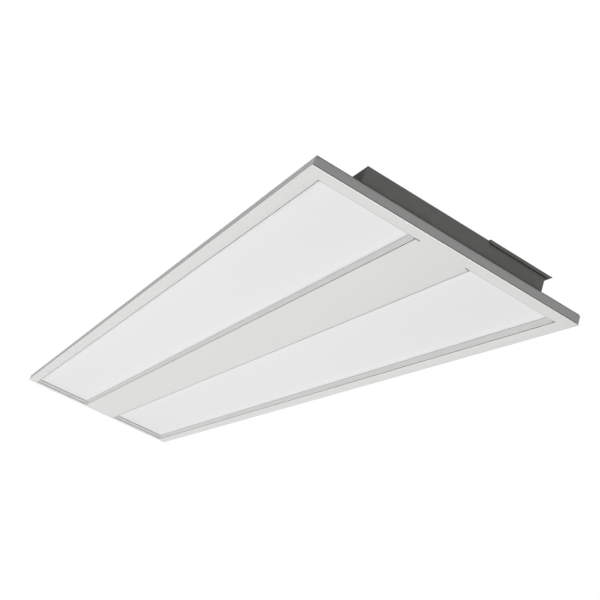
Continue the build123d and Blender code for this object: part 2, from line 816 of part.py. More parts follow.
def clip(x_side, y_side):
    """A swing-out clip, made as it reaches over the grid tee and turned to its stored place."""
    pivot_x = clip_pivot_x
    arm = slab(pivot_x, clip_leg_x, -clip_width / 2, clip_width / 2, clip_z, clip_z + clip_sheet)
    arm += rod(pivot_x, 0, clip_z, clip_z + clip_sheet, clip_width / 2)
    leg = slab(clip_leg_x - clip_sheet, clip_leg_x, -clip_width / 2, clip_width / 2,
               clip_z, clip_leg_top)
    bridge = slab(clip_leg_x - clip_sheet, clip_reach, -clip_width / 2, clip_width / 2,
                  clip_leg_top - clip_sheet, clip_leg_top)
    hook = slab(clip_reach - clip_sheet, clip_reach, -clip_width / 2, clip_width / 2,
                clip_leg_top - clip_hook, clip_leg_top)
    bent = arm + leg + bridge + hook
    outer_bends = edges_at(bent, Axis.Y, [(Axis.Z, clip_leg_top)])
    bent = fillet(outer_bends, clip_bend)
    lower_bend = edges_at(bent, Axis.Y, [(Axis.Z, clip_z), (Axis.X, clip_leg_x)])
    bent = fillet(lower_bend, clip_bend)
    bent -= rod(pivot_x, 0, clip_z, clip_z + clip_sheet, clip_pivot_radius + clip_pivot_fit)
    stored = Pos(pivot_x, 0, 0) * Rot(0, 0, 90) * Pos(-pivot_x, 0, 0) * bent
    stored = Pos(0, -clip_pivot_y, 0) * stored
    if y_side > 0:
        stored = mirror(stored, about=Plane.XZ)
    if x_side < 0:
        stored = mirror(stored, about=Plane.YZ)
    return stored


def clip_rivets():
    """Shouldered rivets that the clips turn on."""
    made = []
    for x, y in clip_places():
        head_z = clip_z + clip_sheet + clip_gap
        head = rod(x, y, head_z, head_z + clip_rivet_head_height, clip_rivet_head)
        head = fillet(head.edges().sort_by(Axis.Z)[-1], clip_rivet_head_height * rim_rounding)
        shank = rod(x, y, housing_under, head_z, clip_pivot_radius)
        tail = rod(x, y, housing_under - housing_sheet, housing_under, clip_rivet_tail)
        made.append(head + shank + tail)
    return group(made)


# ---- Every piece under its name

pieces = {
    "face_frame": face_frame(),
    "foam_strips": foam_strips(),
    "back_plate": back_plate(),
    "back_plate_screws": headed_pins(
        back_screw_places(), floor_z, back_screw_head, back_screw_head_height,
        back_screw_shank, frame_height - frame_sheet - back_screw_reach),
    "plate_grommets": grommets(),
    "housing_shell": housing_shell(),
    "housing_rivets": headed_pins(
        housing_rivet_places(), floor_z + housing_sheet, rivet_head, rivet_head_height,
        rivet_shank, back_z),
    "end_plate_near": end_plate(-1),
    "end_plate_far": end_plate(1),
    "end_plate_rivets": headed_pins(
        end_rivet_places(-1) + end_rivet_places(1), floor_z + housing_sheet, rivet_head,
        rivet_head_height, rivet_shank, back_z),
    "compartment_wall": compartment_wall(),
    "wall_grommet": wall_grommet(),
    "hinge_leaf": hinge_leaf(),
    "hinge_pin": hinge_pin(),
    "hinge_rivets": headed_pins(
        leaf_rivet_places(), housing_top + cover_sheet, rivet_head, rivet_head_height,
        rivet_shank, housing_under),
    "access_cover": access_cover(),
    "cover_screw": cover_screw(),
    "cable_bushing": cable_bushing(),
    "terminal_block": terminal_block(),
    "ground_screw": ground_screw(),
    "driver_case": driver_case(),
    "driver_lid": driver_lid(),
    "driver_circuit": driver_circuit(),
    "driver_transformer": block_on_circuit(transformer_size, transformer_offset),
    "driver_choke": block_on_circuit(choke_size, choke_offset),
    "driver_capacitors": driver_capacitors(),
    "driver_screws": headed_pins(
        driver_screw_places(), floor_z + driver_sheet, driver_screw_head,
        driver_screw_head_height, driver_screw_radius, back_z),
    "mains_lead_line": mains_lead(-1),
    "mains_lead_neutral": mains_lead(0),
    "mains_lead_ground": mains_lead(1),
    "low_volt_lead_right": low_volt_lead(1, low_volt_lead_heights[0]),
    "low_volt_lead_left": low_volt_lead(-1, low_volt_lead_heights[1]),
    "clip_rivets": clip_rivets(),
    "grid_clip_near_left": clip(-1, -1),
    "grid_clip_near_right": clip(1, -1),
    "grid_clip_far_left": clip(-1, 1),
    "grid_clip_far_right": clip(1, 1),
}
pieces |= both_sides("lens_bezel", bezel())
pieces |= both_sides("lens_gasket", gasket())
pieces |= both_sides("lens", layer(lens_z, guide_z))
pieces |= both_sides("light_guide", layer(guide_z, reflector_z))
pieces |= both_sides("reflector_sheet", layer(reflector_z, foam_z))
pieces |= both_sides("led_rail", led_rail())
pieces |= both_sides("led_board", led_board())
pieces |= both_sides("led_chips", led_chips())
pieces |= both_sides("board_connector", board_connector())

os.makedirs("parts", exist_ok=True)
for name, piece in pieces.items():
    export_step(piece, f"parts/{name}.step")
print(len(pieces), "pieces")
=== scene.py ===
"""Looks of a slim recessed troffer light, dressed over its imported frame.

Lengths are in metres. The origin is the middle of the visible face, which looks down;
+X runs across the light, +Y along it and +Z up into the ceiling.
"""

import logging
import math
from dataclasses import dataclass
from enum import Enum
from typing import Sequence

import bmesh
import bpy
from mathutils import Matrix, Vector


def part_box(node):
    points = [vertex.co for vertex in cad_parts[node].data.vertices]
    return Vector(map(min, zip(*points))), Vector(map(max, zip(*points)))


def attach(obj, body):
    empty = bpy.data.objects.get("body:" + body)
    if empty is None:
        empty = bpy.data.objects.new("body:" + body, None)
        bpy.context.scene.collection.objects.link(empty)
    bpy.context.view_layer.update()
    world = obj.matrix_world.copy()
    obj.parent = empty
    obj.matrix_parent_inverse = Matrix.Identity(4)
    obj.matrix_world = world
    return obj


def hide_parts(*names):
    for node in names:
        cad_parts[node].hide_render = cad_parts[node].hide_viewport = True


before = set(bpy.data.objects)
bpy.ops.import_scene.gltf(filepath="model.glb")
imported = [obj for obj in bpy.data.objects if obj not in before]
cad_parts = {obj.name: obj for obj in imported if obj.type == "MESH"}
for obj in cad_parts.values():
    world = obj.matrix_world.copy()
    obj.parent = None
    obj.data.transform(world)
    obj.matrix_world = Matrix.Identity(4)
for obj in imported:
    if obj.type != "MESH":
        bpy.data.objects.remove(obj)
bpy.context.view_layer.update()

logging.basicConfig(level=logging.INFO, format="%(message)s")
log = logging.getLogger("troffer")

MM = 0.001
MICRON = 1e-6
WELD = 0.002 * MM
ROOT = "luminaire"
COVER = "wiring_cover"

Number = float | int
Pair = tuple[float, float]
Triple = tuple[float, float, float]
Colour = Triple
Point = Sequence[float]

# The sides of a rectangle: whether each runs along X, and on which side of the middle it lies.
RECTANGLE = ((True, -1), (True, 1), (False, -1), (False, 1))


class Side(Enum):
    """The two sides of the light, by the sign of X."""

    RIGHT = 1
    LEFT = -1

    def of(self, name: str) -> str:
        """The name of this side's piece."""
        return f"{name}_{self.name.lower()}"


class End(Enum):
    """The two ends of the light, by the sign of Y."""

    NEAR = -1
    FAR = 1

    def of(self, name: str) -> str:
        """The name of this end's piece."""
        return f"{name}_{self.name.lower()}"


# ---------------------------------------------------------------- shader maths

class Socket:
    """An output socket of a shader node; arithmetic on it adds the nodes that work it out."""

    def __init__(self, graph: "Graph", socket: bpy.types.NodeSocket) -> None:
        """Keeps the graph and the socket that this object stands for."""
        self.graph = graph
        self.socket = socket

    def math(self, operation: str, *values: "Socket | Number") -> "Socket":
        """Adds one Math node.

        Args:
            operation: the node's operation.
            values: its inputs, in order.

        Returns:
            The node's result.
        """
        return self.graph.node("ShaderNodeMath", {"operation": operation}, dict(enumerate(values)))

    def __add__(self, other: "Socket | Number") -> "Socket":
        """Sum."""
        return self.math("ADD", self, other)

    __radd__ = __add__

    def __sub__(self, other: "Socket | Number") -> "Socket":
        """Difference."""
        return self.math("SUBTRACT", self, other)

    def __rsub__(self, other: Number) -> "Socket":
        """Difference from a number."""
        return self.math("SUBTRACT", other, self)

    def __mul__(self, other: "Socket | Number") -> "Socket":
        """Product."""
        return self.math("MULTIPLY", self, other)

    __rmul__ = __mul__

    def __gt__(self, other: "Socket | Number") -> "Socket":
        """1 where this is greater, else 0."""
        return self.math("GREATER_THAN", self, other)

    def __lt__(self, other: "Socket | Number") -> "Socket":
        """1 where this is less, else 0."""
        return self.math("LESS_THAN", self, other)

    def __abs__(self) -> "Socket":
        """Size without sign."""
        return self.math("ABSOLUTE", self)

    def wave(self, pitch: float) -> "Socket":
        """How far this is into its repeat, from 0 to 1."""
        return self.math("FRACT", self * (1 / pitch))

    def either(self, other: "Socket") -> "Socket":
        """The larger of two values."""
        return self.math("MAXIMUM", self, other)

    def bounce(self, span: float) -> "Socket":
        """This, going up to a span and back down to 0, over and over."""
        return self.math("PINGPONG", self, span)


@dataclass(frozen=True)
class Noise:
    """A soft noise: its scale in repeats per metre, and how much finer detail it has."""

    scale: float
    detail: float = 2.0


class Graph:
    """The nodes of one material or world."""

    def __init__(self, tree: bpy.types.NodeTree) -> None:
        """Starts from an empty tree."""
        self.tree = tree
        tree.nodes.clear()

    def add(self, kind: str, settings: dict | None = None,
            inputs: dict | None = None) -> bpy.types.Node:
        """Adds any node.

        Args:
            kind: the node's type.
            settings: its properties, set before its sockets.
            inputs: values or links by socket name or number.

        Returns:
            The node.
        """
        made = self.tree.nodes.new(kind)
        for name, value in (settings or {}).items():
            setattr(made, name, value)
        for name, value in (inputs or {}).items():
            self.feed(made.inputs[name], value)
        return made

    def node(self, kind: str, settings: dict | None = None, inputs: dict | None = None,
             output: int | str = 0) -> Socket:
        """Adds any node, as add does, and gives one of its outputs."""
        return Socket(self, self.add(kind, settings, inputs).outputs[output])

    def feed(self, socket: bpy.types.NodeSocket, value: "Socket | Number | tuple") -> None:
        """Links a socket to a result, or sets its value.

        Args:
            socket: the input socket.
            value: the result or the plain value; a colour may come without its alpha.
        """
        if isinstance(value, Socket):
            self.tree.links.new(value.socket, socket)
        elif isinstance(value, tuple) and len(value) == 3 and len(socket.default_value) == 4:
            socket.default_value = (*value, 1.0)
        else:
            socket.default_value = value

    def surface(self, kind: str, shader: Socket) -> None:
        """Ends the graph with an output node of a kind, fed by a shader."""
        self.add(kind, None, {0: shader})

    def place(self) -> Socket:
        """The point on the object, in metres, in the light's own frame."""
        return self.node("ShaderNodeTexCoord", output="Object")

    def axis(self, name: str) -> Socket:
        """One coordinate, X, Y or Z, of the point on the object."""
        return self.node("ShaderNodeSeparateXYZ", inputs={0: self.place()}, output=name)

    def stretched(self, x: float, y: float, z: float) -> Socket:
        """The point on the object with each axis scaled."""
        return self.node("ShaderNodeVectorMath", {"operation": "MULTIPLY"},
                         {0: self.place(), 1: (x, y, z)})

    def noise(self, kind: Noise, vector: Socket | None = None) -> Socket:
        """Soft noise between 0 and 1, read at the point on the object or at a vector."""
        return self.node("ShaderNodeTexNoise", None, {
            "Vector": vector or self.place(), "Scale": kind.scale, "Detail": kind.detail}, "Fac")

    def cells(self, scale: float) -> Socket:
        """A crystal pattern.

        Args:
            scale: its scale, in repeats per metre.

        Returns:
            A random grey for each cell.
        """
        colour = self.node("ShaderNodeTexVoronoi", None, {
            "Vector": self.place(), "Scale": scale}, "Color")
        return self.node("ShaderNodeSeparateColor", None, {0: colour}, 0)

    def mix(self, mask: Socket | Number, low: "Socket | Colour", high: "Socket | Colour") -> Socket:
        """A colour between two by a mask."""
        return self.node("ShaderNodeMix", {"data_type": "RGBA"}, {0: mask, 6: low, 7: high}, 2)

    def shade(self, colour: Colour, spread: float, mask: Socket) -> Socket:
        """A colour that gets a little darker and lighter with a mask.

        Args:
            colour: the middle colour.
            spread: the share by which it changes each way.
            mask: 0 for the darkest and 1 for the lightest.

        Returns:
            The colour.
        """
        dark = tuple(c * (1 - spread) for c in colour)
        light = tuple(min(1.0, c * (1 + spread)) for c in colour)
        return self.mix(mask, dark, light)

    def bump(self, height: Socket, distance: float) -> Socket:
        """A normal from a height between 0 and 1 over a real distance."""
        return self.node("ShaderNodeBump", None, {
            "Height": height, "Distance": distance, "Strength": 1.0})


# ---------------------------------------------------------------- finishes

@dataclass(frozen=True)
class Finish:
    """What every finish has: a name, a colour and a roughness."""

    name: str
    colour: Colour
    roughness: float = 0.5

    def fixed(self) -> dict[str, Number]:
        """Values of the shader that are the same all over."""
        return {"IOR": 1.5}

    def varied(self, graph: Graph) -> dict[str, Socket]:
        """Inputs of the shader that change over the surface; each kind of finish gives its own."""
        raise NotImplementedError(self.name)

    def material(self) -> bpy.types.Material:
        """Makes the material the first time that it is asked for.

        Returns:
            The finish's material.
        """
        known = bpy.data.materials.get(self.name)
        if known is not None:
            return known
        made = bpy.data.materials.new(self.name)
        made.use_nodes = True
        graph = Graph(made.node_tree)
        inputs = {"Base Color": (*self.colour, 1.0), "Roughness": self.roughness}
        inputs |= self.fixed() | self.varied(graph)
        graph.surface("ShaderNodeOutputMaterial",
                      graph.node("ShaderNodeBsdfPrincipled", None, inputs))
        return made


@dataclass(frozen=True)
class Skin(Finish):
    """A plain surface: its tone and its gloss drift a little, and it has a fine texture."""

    spread: float = 0.015
    tone: Noise = Noise(25)
    gloss: Noise = Noise(120)
    swing: float = 0.06
    grain: Noise = Noise(2600, 1)
    grain_height: float = 4 * MICRON

    def varied(self, graph: Graph) -> dict[str, Socket]:
        """The drifts and the texture.

        Args:
            graph: the material's nodes.

        Returns:
            The inputs that change over the surface.
        """
        roughness = self.roughness - self.swing / 2 + graph.noise(self.gloss) * self.swing
        return {
            "Base Color": graph.shade(self.colour, self.spread, graph.noise(self.tone)),
            "Roughness": roughness,
            "Normal": graph.bump(graph.noise(self.grain), self.grain_height),
        }


@dataclass(frozen=True)
class PowderCoat(Skin):
    """Baked paint on sheet steel, with a faint orange-peel surface."""

    spread: float = 0.012
    tone: Noise = Noise(7)
    gloss: Noise = Noise(60, 3)
    swing: float = 0.08
    grain: Noise = Noise(900, 1)
    grain_height: float = 6 * MICRON


@dataclass(frozen=True)
class Moulded(Skin):
    """Moulded plastic with slight flow marks and a fine spark-eroded grain."""


@dataclass(frozen=True)
class Diffuser(Skin):
    """Frosted acrylic: satin, with a slow drift of brightness and an etched texture."""

    spread: float = 0.008
    tone: Noise = Noise(3)
    gloss: Noise = Noise(300)
    grain: Noise = Noise(1800)
    grain_height: float = 3 * MICRON


@dataclass(frozen=True)
class Rubber(Skin):
    """Moulded rubber or pressed ferrite, dull and slightly dusty."""

    spread: float = 0.18
    tone: Noise = Noise(140, 3)
    gloss: Noise = Noise(140, 3)
    swing: float = 0.1
    grain: Noise = Noise(2200, 1)
    grain_height: float = 5 * MICRON


@dataclass(frozen=True)
class Sleeve(Skin):
    """Drawn cable insulation, with faint drawing lines and fingermarks."""

    spread: float = 0.06
    tone: Noise = Noise(400)
    gloss: Noise = Noise(400)
    swing: float = 0.1
    grain: Noise = Noise(3000, 1)


@dataclass(frozen=True)
class FoldedPaint(PowderCoat):
    """Frame paint: painted highlight on the outer bend, painted shade over it, shaded bare cut edges.
    """

    bend: float = 1.3 * MM
    line_foot: float = 0.25 * MM
    line_top: float = 0.95 * MM
    # Painted highlight: a brighter, metallic line on the outer bend stands in for the light that the
    # bend catches.
    bright: Colour = (0.90, 0.90, 0.895)
    highlight_sheen: float = 0.9
    # Painted shade: the colour named seam is a dark line just over the bend, where the fold's shadow
    # falls.
    shade_line_top: float = 2.1 * MM
    seam: Colour = (0.34, 0.34, 0.33)
    # The cut edges are bare steel, painted darker still as the shade in the gap round each opening.
    cut_foot: float = 0.12 * MM
    cut_top: float = 0.9 * MM
    bare_edge_and_shade: Colour = (0.20, 0.20, 0.19)

    def varied(self, graph: Graph) -> dict[str, Socket]:
        """The paint, its painted highlight and painted shade lines, and the shaded bare cut edges.

        Args:
            graph: the material's nodes.

        Returns:
            The inputs that change over the surface.
        """
        paint = super().varied(graph)
        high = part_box("face_frame")[1]
        height = graph.axis("Z")
        beside = abs(graph.axis("X")) > high.x - self.bend
        before = abs(graph.axis("Y")) > high.y - self.bend
        outside = beside.either(before)
        # Painted highlight along the outer bend.
        line = outside * (height > self.line_foot) * (height < self.line_top)
        # Painted shade just over the bend.
        over = outside * (height > self.line_top) * (height < self.shade_line_top)
        # Bare steel at the cut edges, darkened as painted shade.
        cut = (1 - outside) * (height > self.cut_foot) * (height < self.cut_top)
        painted = graph.mix(line, paint["Base Color"], self.bright)
        lit_and_shaded = graph.mix(over, painted, self.seam)
        return paint | {
            "Base Color": graph.mix(cut, lit_and_shaded, self.bare_edge_and_shade),
            # The painted highlight's metal sheen mirrors the white surround.
            "Metallic": line * self.highlight_sheen,
            "Roughness": paint["Roughness"] - line * (self.roughness / 2),
        }


@dataclass(frozen=True)
class BezelPlastic(Moulded):
    """The bezel's plastic, with painted shade in the corners along the two short ends of the recess."""

    end_depth: float = 5.8 * MM
    low: float = 1.3 * MM
    high: float = 5.2 * MM
    # Painted shade: the colour of the dark lines where each end's slope meets the lens and the face.
    dull: Colour = (0.42, 0.42, 0.41)

    def varied(self, graph: Graph) -> dict[str, Socket]:
        """The plastic, and a painted shade line above and below each end's slope.

        Args:
            graph: the material's nodes.

        Returns:
            The inputs that change over the surface.
        """
        plastic = super().varied(graph)
        height = graph.axis("Z")
        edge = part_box(Side.RIGHT.of("lens_bezel"))[1].y - self.end_depth
        at_end = abs(graph.axis("Y")) > edge
        # Painted shade in the end corners.
        corner = at_end * (height > self.high).either(height < self.low)
        return plastic | {"Base Color": graph.mix(corner, plastic["Base Color"], self.dull)}


@dataclass(frozen=True)
class ClearGuide(Finish):
    """Clear acrylic with a printed grid of white dots that lead the light out."""

    dot_pitch: float = 2.2 * MM
    dot_half: float = 0.2
    dot_white: Colour = (0.96, 0.96, 0.96)
    dot_dullness: float = 0.4
    clearness: float = 0.5

    def fixed(self) -> dict[str, Number]:
        """Clear and glossy."""
        return {"IOR": 1.49, "Transmission Weight": self.clearness}

    def varied(self, graph: Graph) -> dict[str, Socket]:
        """The dots, in rows.

        Args:
            graph: the material's nodes.

        Returns:
            The inputs that change over the surface.
        """
        along = abs(graph.axis("X").wave(self.dot_pitch) - 0.5) < self.dot_half
        across = abs(graph.axis("Y").wave(self.dot_pitch) - 0.5) < self.dot_half
        dots = along * across
        return {
            "Base Color": graph.mix(dots, self.colour, self.dot_white),
            "Roughness": self.roughness + dots * self.dot_dullness,
        }


@dataclass(frozen=True)
class Galvanised(Finish):
    """Zinc-coated sheet: dull metal with a faint crystal pattern and rolling streaks."""

    metallic: float = 0.04
    spangle: float = 0.13
    crystal: float = 95.0
    streaks: Noise = Noise(1, 3)
    streak_stretch: Triple = (900, 12, 900)
    streak_height: float = 4 * MICRON
    bloom: Noise = Noise(9, 3)
    shares: Triple = (0.35, 0.25, 0.4)
    smoother: float = 0.06
    crystal_swing: float = 0.07
    bloom_swing: float = 0.06

    def fixed(self) -> dict[str, Number]:
        """Partly metallic, with a dull oxide skin."""
        return {"IOR": 1.5, "Metallic": self.metallic, "Specular IOR Level": 0.0}

    def varied(self, graph: Graph) -> dict[str, Socket]:
        """Crystals, streaks along the sheet and a drift of the zinc's bloom.

        Args:
            graph: the material's nodes.

        Returns:
            The inputs that change over the surface.
        """
        crystals = graph.cells(self.crystal)
        streaks = graph.noise(self.streaks, graph.stretched(*self.streak_stretch))
        bloom = graph.noise(self.bloom)
        tone = crystals * self.shares[0] + streaks * self.shares[1] + bloom * self.shares[2]
        return {
            "Base Color": graph.shade(self.colour, self.spangle, tone),
            "Roughness": self.roughness - self.smoother + crystals * self.crystal_swing
            + bloom * self.bloom_swing,
            "Normal": graph.bump(streaks, self.streak_height),
        }


@dataclass(frozen=True)
class EdgeShadedSheet(Galvanised):
    """Zinc-coated sheet with painted shade: dark lines along its bends and cut edges."""

    # Painted shade: the colour of the dark lines along the bends.
    dull: Colour = (0.055, 0.055, 0.053)
    end_y: float = 0.0
    above: float = 1.0
    below: float = 0.0

    def varied(self, graph: Graph) -> dict[str, Socket]:
        """The zinc, and painted shade on the edges past the given lines.

        Args:
            graph: the material's nodes.

        Returns:
            The inputs that change over the surface.
        """
        zinc = super().varied(graph)
        height = graph.axis("Z")
        edge = (height > self.above).either(height < self.below)
        # Painted shade past the given heights.
        dark = (abs(graph.axis("Y")) > self.end_y) * edge
        return zinc | {"Base Color": graph.mix(dark, zinc["Base Color"], self.dull)}


@dataclass(frozen=True)
class PlatedSteel(Finish):
    """Small metal parts, plated or bare: bright, with turning marks and a slight tint."""

    metallic: float = 0.85
    tint: Colour = (0.43, 0.41, 0.34)
    patches: Noise = Noise(220)
    marks: Noise = Noise(900)
    smoother: float = 0.05
    swing: float = 0.12
    scratches: Noise = Noise(1600)
    scratch_height: float = 3 * MICRON

    def fixed(self) -> dict[str, Number]:
        """Metallic."""
        return {"IOR": 1.5, "Metallic": self.metallic}

    def varied(self, graph: Graph) -> dict[str, Socket]:
        """Patches of tint and fine marks.

        Args:
            graph: the material's nodes.

        Returns:
            The inputs that change over the surface.
        """
        return {
            "Base Color": graph.mix(graph.noise(self.patches), self.colour, self.tint),
            "Roughness": self.roughness - self.smoother + graph.noise(self.marks) * self.swing,
            "Normal": graph.bump(graph.noise(self.scratches), self.scratch_height),
        }


@dataclass(frozen=True)
class Aluminium(PlatedSteel):
    """Rolled aluminium with long fine lines."""

    swing: float = 0.1
    spread: float = 0.05
    lines: Noise = Noise(1, 3)
    line_stretch: Triple = (2600, 8, 2600)

    def varied(self, graph: Graph) -> dict[str, Socket]:
        """Lines along the length.

        Args:
            graph: the material's nodes.

        Returns:
            The inputs that change over the surface.
        """
        lines = graph.noise(self.lines, graph.stretched(*self.line_stretch))
        return {
            "Base Color": graph.shade(self.colour, self.spread, lines),
            "Roughness": self.roughness - self.smoother + lines * self.swing,
            "Normal": graph.bump(lines, self.scratch_height),
        }


@dataclass(frozen=True)
class Foam(Finish):
    """Closed-cell foam."""

    cell: float = 1500.0
    spread: float = 0.2
    depth: float = 40 * MICRON

    def varied(self, graph: Graph) -> dict[str, Socket]:
        """Small cells in tone and height.

        Args:
            graph: the material's nodes.

        Returns:
            The inputs that change over the surface.
        """
        cells = graph.cells(self.cell)
        return {
            "Base Color": graph.shade(self.colour, self.spread, cells),
            "Normal": graph.bump(cells, self.depth),
        }


@dataclass(frozen=True)
class CircuitBoard(Finish):
    """Solder mask over copper tracks, with tinned pads."""

    track_pitch: float = 3.1 * MM
    track_share: float = 0.32
    track_height: float = 20 * MICRON
    wander: Noise = Noise(45, 1)
    wander_reach: float = 4 * MM
    pad_pitch: float = 7.3 * MM
    pad_half_x: float = 0.16
    pad_half_y: float = 0.1
    pad_gloss: float = 0.12
    tin: Colour = (0.62, 0.62, 0.60)
    mask_gain: float = 1.35
    mask_lift: float = 0.01

    def varied(self, graph: Graph) -> dict[str, Socket]:
        """Tracks show as a paler mask, pads as tin.

        Args:
            graph: the material's nodes.

        Returns:
            The inputs that change over the surface.
        """
        x = graph.axis("X")
        y = graph.axis("Y")
        bend = graph.noise(self.wander) * self.wander_reach
        track = (x + bend).wave(self.track_pitch) < self.track_share
        pads = (abs(x.wave(self.track_pitch) - 0.5) < self.pad_half_x) \
            * (abs(y.wave(self.pad_pitch) - 0.5) < self.pad_half_y)
        pale = tuple(min(1.0, c * self.mask_gain + self.mask_lift) for c in self.colour)
        masked = graph.mix(track, self.colour, pale)
        return {
            "Base Color": graph.mix(pads, masked, self.tin),
            "Roughness": self.roughness - pads * self.pad_gloss,
            "Normal": graph.bump(track, self.track_height),
        }


@dataclass(frozen=True)
class WoundTape(Finish):
    """Layers of polyester tape round a winding, with lapped edges."""

    lap: float = 5 * MM
    lap_height: float = 60 * MICRON
    spread: float = 0.10
    shares: Pair = (0.7, 0.3)
    stains: Noise = Noise(80)
    gloss: Noise = Noise(200)
    smoother: float = 0.05
    swing: float = 0.1

    def varied(self, graph: Graph) -> dict[str, Socket]:
        """A lap each few millimetres.

        Args:
            graph: the material's nodes.

        Returns:
            The inputs that change over the surface.
        """
        lap = graph.axis("Y").wave(self.lap)
        tone = lap * self.shares[0] + graph.noise(self.stains) * self.shares[1]
        return {
            "Base Color": graph.shade(self.colour, self.spread, tone),
            "Roughness": self.roughness - self.smoother + graph.noise(self.gloss) * self.swing,
            "Normal": graph.bump(lap, self.lap_height),
        }


@dataclass(frozen=True)
class Phosphor(Finish):
    """The window of a light-emitting diode in its white package."""

    package: Colour = (0.88, 0.88, 0.86)
    pitch: float = 14.0 * MM
    window: float = 2.2 * MM
    height: float = 9.35 * MM
    half_height: float = 0.75 * MM

    def varied(self, graph: Graph) -> dict[str, Socket]:
        """Yellow in the middle of each package, white round it.

        Args:
            graph: the material's nodes.

        Returns:
            The inputs that change over the surface.
        """
        steps = graph.axis("Y") * (1 / self.pitch)
        along = steps.bounce(0.5) < self.window / self.pitch / 2
        high = abs(graph.axis("Z") - self.height) < self.half_height
        return {"Base Color": graph.mix(along * high, self.package, self.colour)}


class Finishes(Enum):
    """Every finish on the light."""

    FRAME = FoldedPaint("white_powder_coat", (0.725, 0.725, 0.713), 0.42)
    BEZEL = BezelPlastic("white_moulded_bezel", (0.80, 0.80, 0.79), 0.45)
    LENS = Diffuser("frosted_lens", (0.82, 0.82, 0.818), 0.5)
    GUIDE = ClearGuide("clear_light_guide", (0.86, 0.90, 0.90), 0.08)
    REFLECTOR = Moulded("white_reflector_sheet", (0.90, 0.90, 0.90), 0.6)
    GASKET = Foam("grey_gasket_foam", (0.60, 0.60, 0.60), 0.85)
    FOAM = Foam("dark_pressing_foam", (0.05, 0.05, 0.052), 0.9)
    SHEET = Galvanised("galvanised_sheet", (0.31, 0.31, 0.30), 0.6)
    # The end plates' top bend and the cover's lip carry painted shade lines.
    END_SHEET = EdgeShadedSheet("galvanised_end", (0.31, 0.31, 0.30), 0.6, above=29.9 * MM)
    COVER_SHEET = EdgeShadedSheet("galvanised_cover", (0.31, 0.31, 0.30), 0.6, end_y=605.1 * MM,
                            above=30.9 * MM, below=27.7 * MM)
    PLATED = PlatedSteel("zinc_plated_steel", (0.38, 0.39, 0.40), 0.36)
    SPRING = PlatedSteel("plated_spring_steel", (0.33, 0.34, 0.35), 0.38)
    RAIL = Aluminium("rolled_aluminium", (0.72, 0.73, 0.74), 0.4)
    LED_BOARD = CircuitBoard("white_led_board", (0.80, 0.80, 0.78), 0.4, 2.4 * MM)
    CHIPS = Phosphor("led_phosphor", (0.85, 0.62, 0.08), 0.35)
    CONNECTOR = Moulded("natural_nylon", (0.78, 0.75, 0.66), 0.4)
    RUBBER = Rubber("black_rubber", (0.022, 0.022, 0.024), 0.6)
    DRIVER = PowderCoat("driver_white_paint", (0.66, 0.66, 0.63), 0.4)
    CIRCUIT = CircuitBoard("green_circuit_board", (0.02, 0.14, 0.05), 0.35)
    TAPE = WoundTape("yellow_winding_tape", (0.72, 0.50, 0.06), 0.35)
    CAPACITOR = Sleeve("capacitor_sleeve", (0.02, 0.024, 0.05), 0.3)
    LEAD_BLACK = Sleeve("black_insulation", (0.018, 0.018, 0.02), 0.38)
    LEAD_WHITE = Sleeve("white_insulation", (0.74, 0.74, 0.71), 0.38)
    LEAD_GREEN = Sleeve("green_insulation", (0.03, 0.24, 0.07), 0.38)
    LEAD_RED = Sleeve("red_insulation", (0.45, 0.02, 0.018), 0.38)
    TERMINAL = Moulded("orange_terminal_nylon", (0.78, 0.26, 0.035), 0.42)
    LEVERS = Moulded("pale_lever_nylon", (0.74, 0.73, 0.68), 0.4)
    FERRITE = Rubber("ferrite_core", (0.035, 0.034, 0.036), 0.5)
    BOBBIN = Moulded("black_bobbin", (0.03, 0.03, 0.032), 0.4)
    CAN_TOP = PlatedSteel("can_aluminium", (0.72, 0.72, 0.73), 0.3, 0.9, (0.66, 0.66, 0.67))
    GROUND = PlatedSteel("green_plated_screw", (0.04, 0.26, 0.09), 0.35, 0.6, (0.10, 0.32, 0.10))
    COPPER = PlatedSteel("enamelled_copper", (0.62, 0.24, 0.10), 0.3, 0.8, (0.70, 0.32, 0.14))


# ---------------------------------------------------------------- meshes

def placed(name: str, data: bpy.types.ID) -> bpy.types.Object:
    """Puts a mesh, a lamp or a camera into the scene.

    Args:
        name: the new object's name.
        data: what it shows.

    Returns:
        The object.
    """
    made = bpy.data.objects.new(name, data)
    bpy.context.scene.collection.objects.link(made)
    return made


def round_box(low: Vector, high: Vector) -> tuple[Triple, float, float]:
    """Reads the box of a round upright solid.

    Args:
        low: the box's lowest corner.
        high: its highest corner.

    Returns:
        The foot of the solid's axis, its radius and its height.
    """
    foot = ((low.x + high.x) / 2, (low.y + high.y) / 2, low.z)
    return foot, (high.x - low.x) / 2, high.z - low.z


def solids(node: str) -> list[tuple[Vector, Vector]]:
    """Finds the separate solids of a node.

    Args:
        node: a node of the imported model.

    Returns:
        The lowest and the highest corner of each, in order of place.
    """
    mesh = bmesh.new()
    mesh.from_mesh(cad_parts[node].data)
    bmesh.ops.remove_doubles(mesh, verts=mesh.verts, dist=WELD)
    found = []
    waiting = set(mesh.verts)
    while waiting:
        start = waiting.pop()
        island = [start]
        for vert in island:
            for link in vert.link_edges:
                other = link.other_vert(vert)
                if other in waiting:
                    waiting.discard(other)
                    island.append(other)
        low = Vector(min(v.co[axis] for v in island) for axis in range(3))
        high = Vector(max(v.co[axis] for v in island) for axis in range(3))
        found.append((low, high))
    mesh.free()
    return sorted(found, key=lambda box: tuple(box[0]))


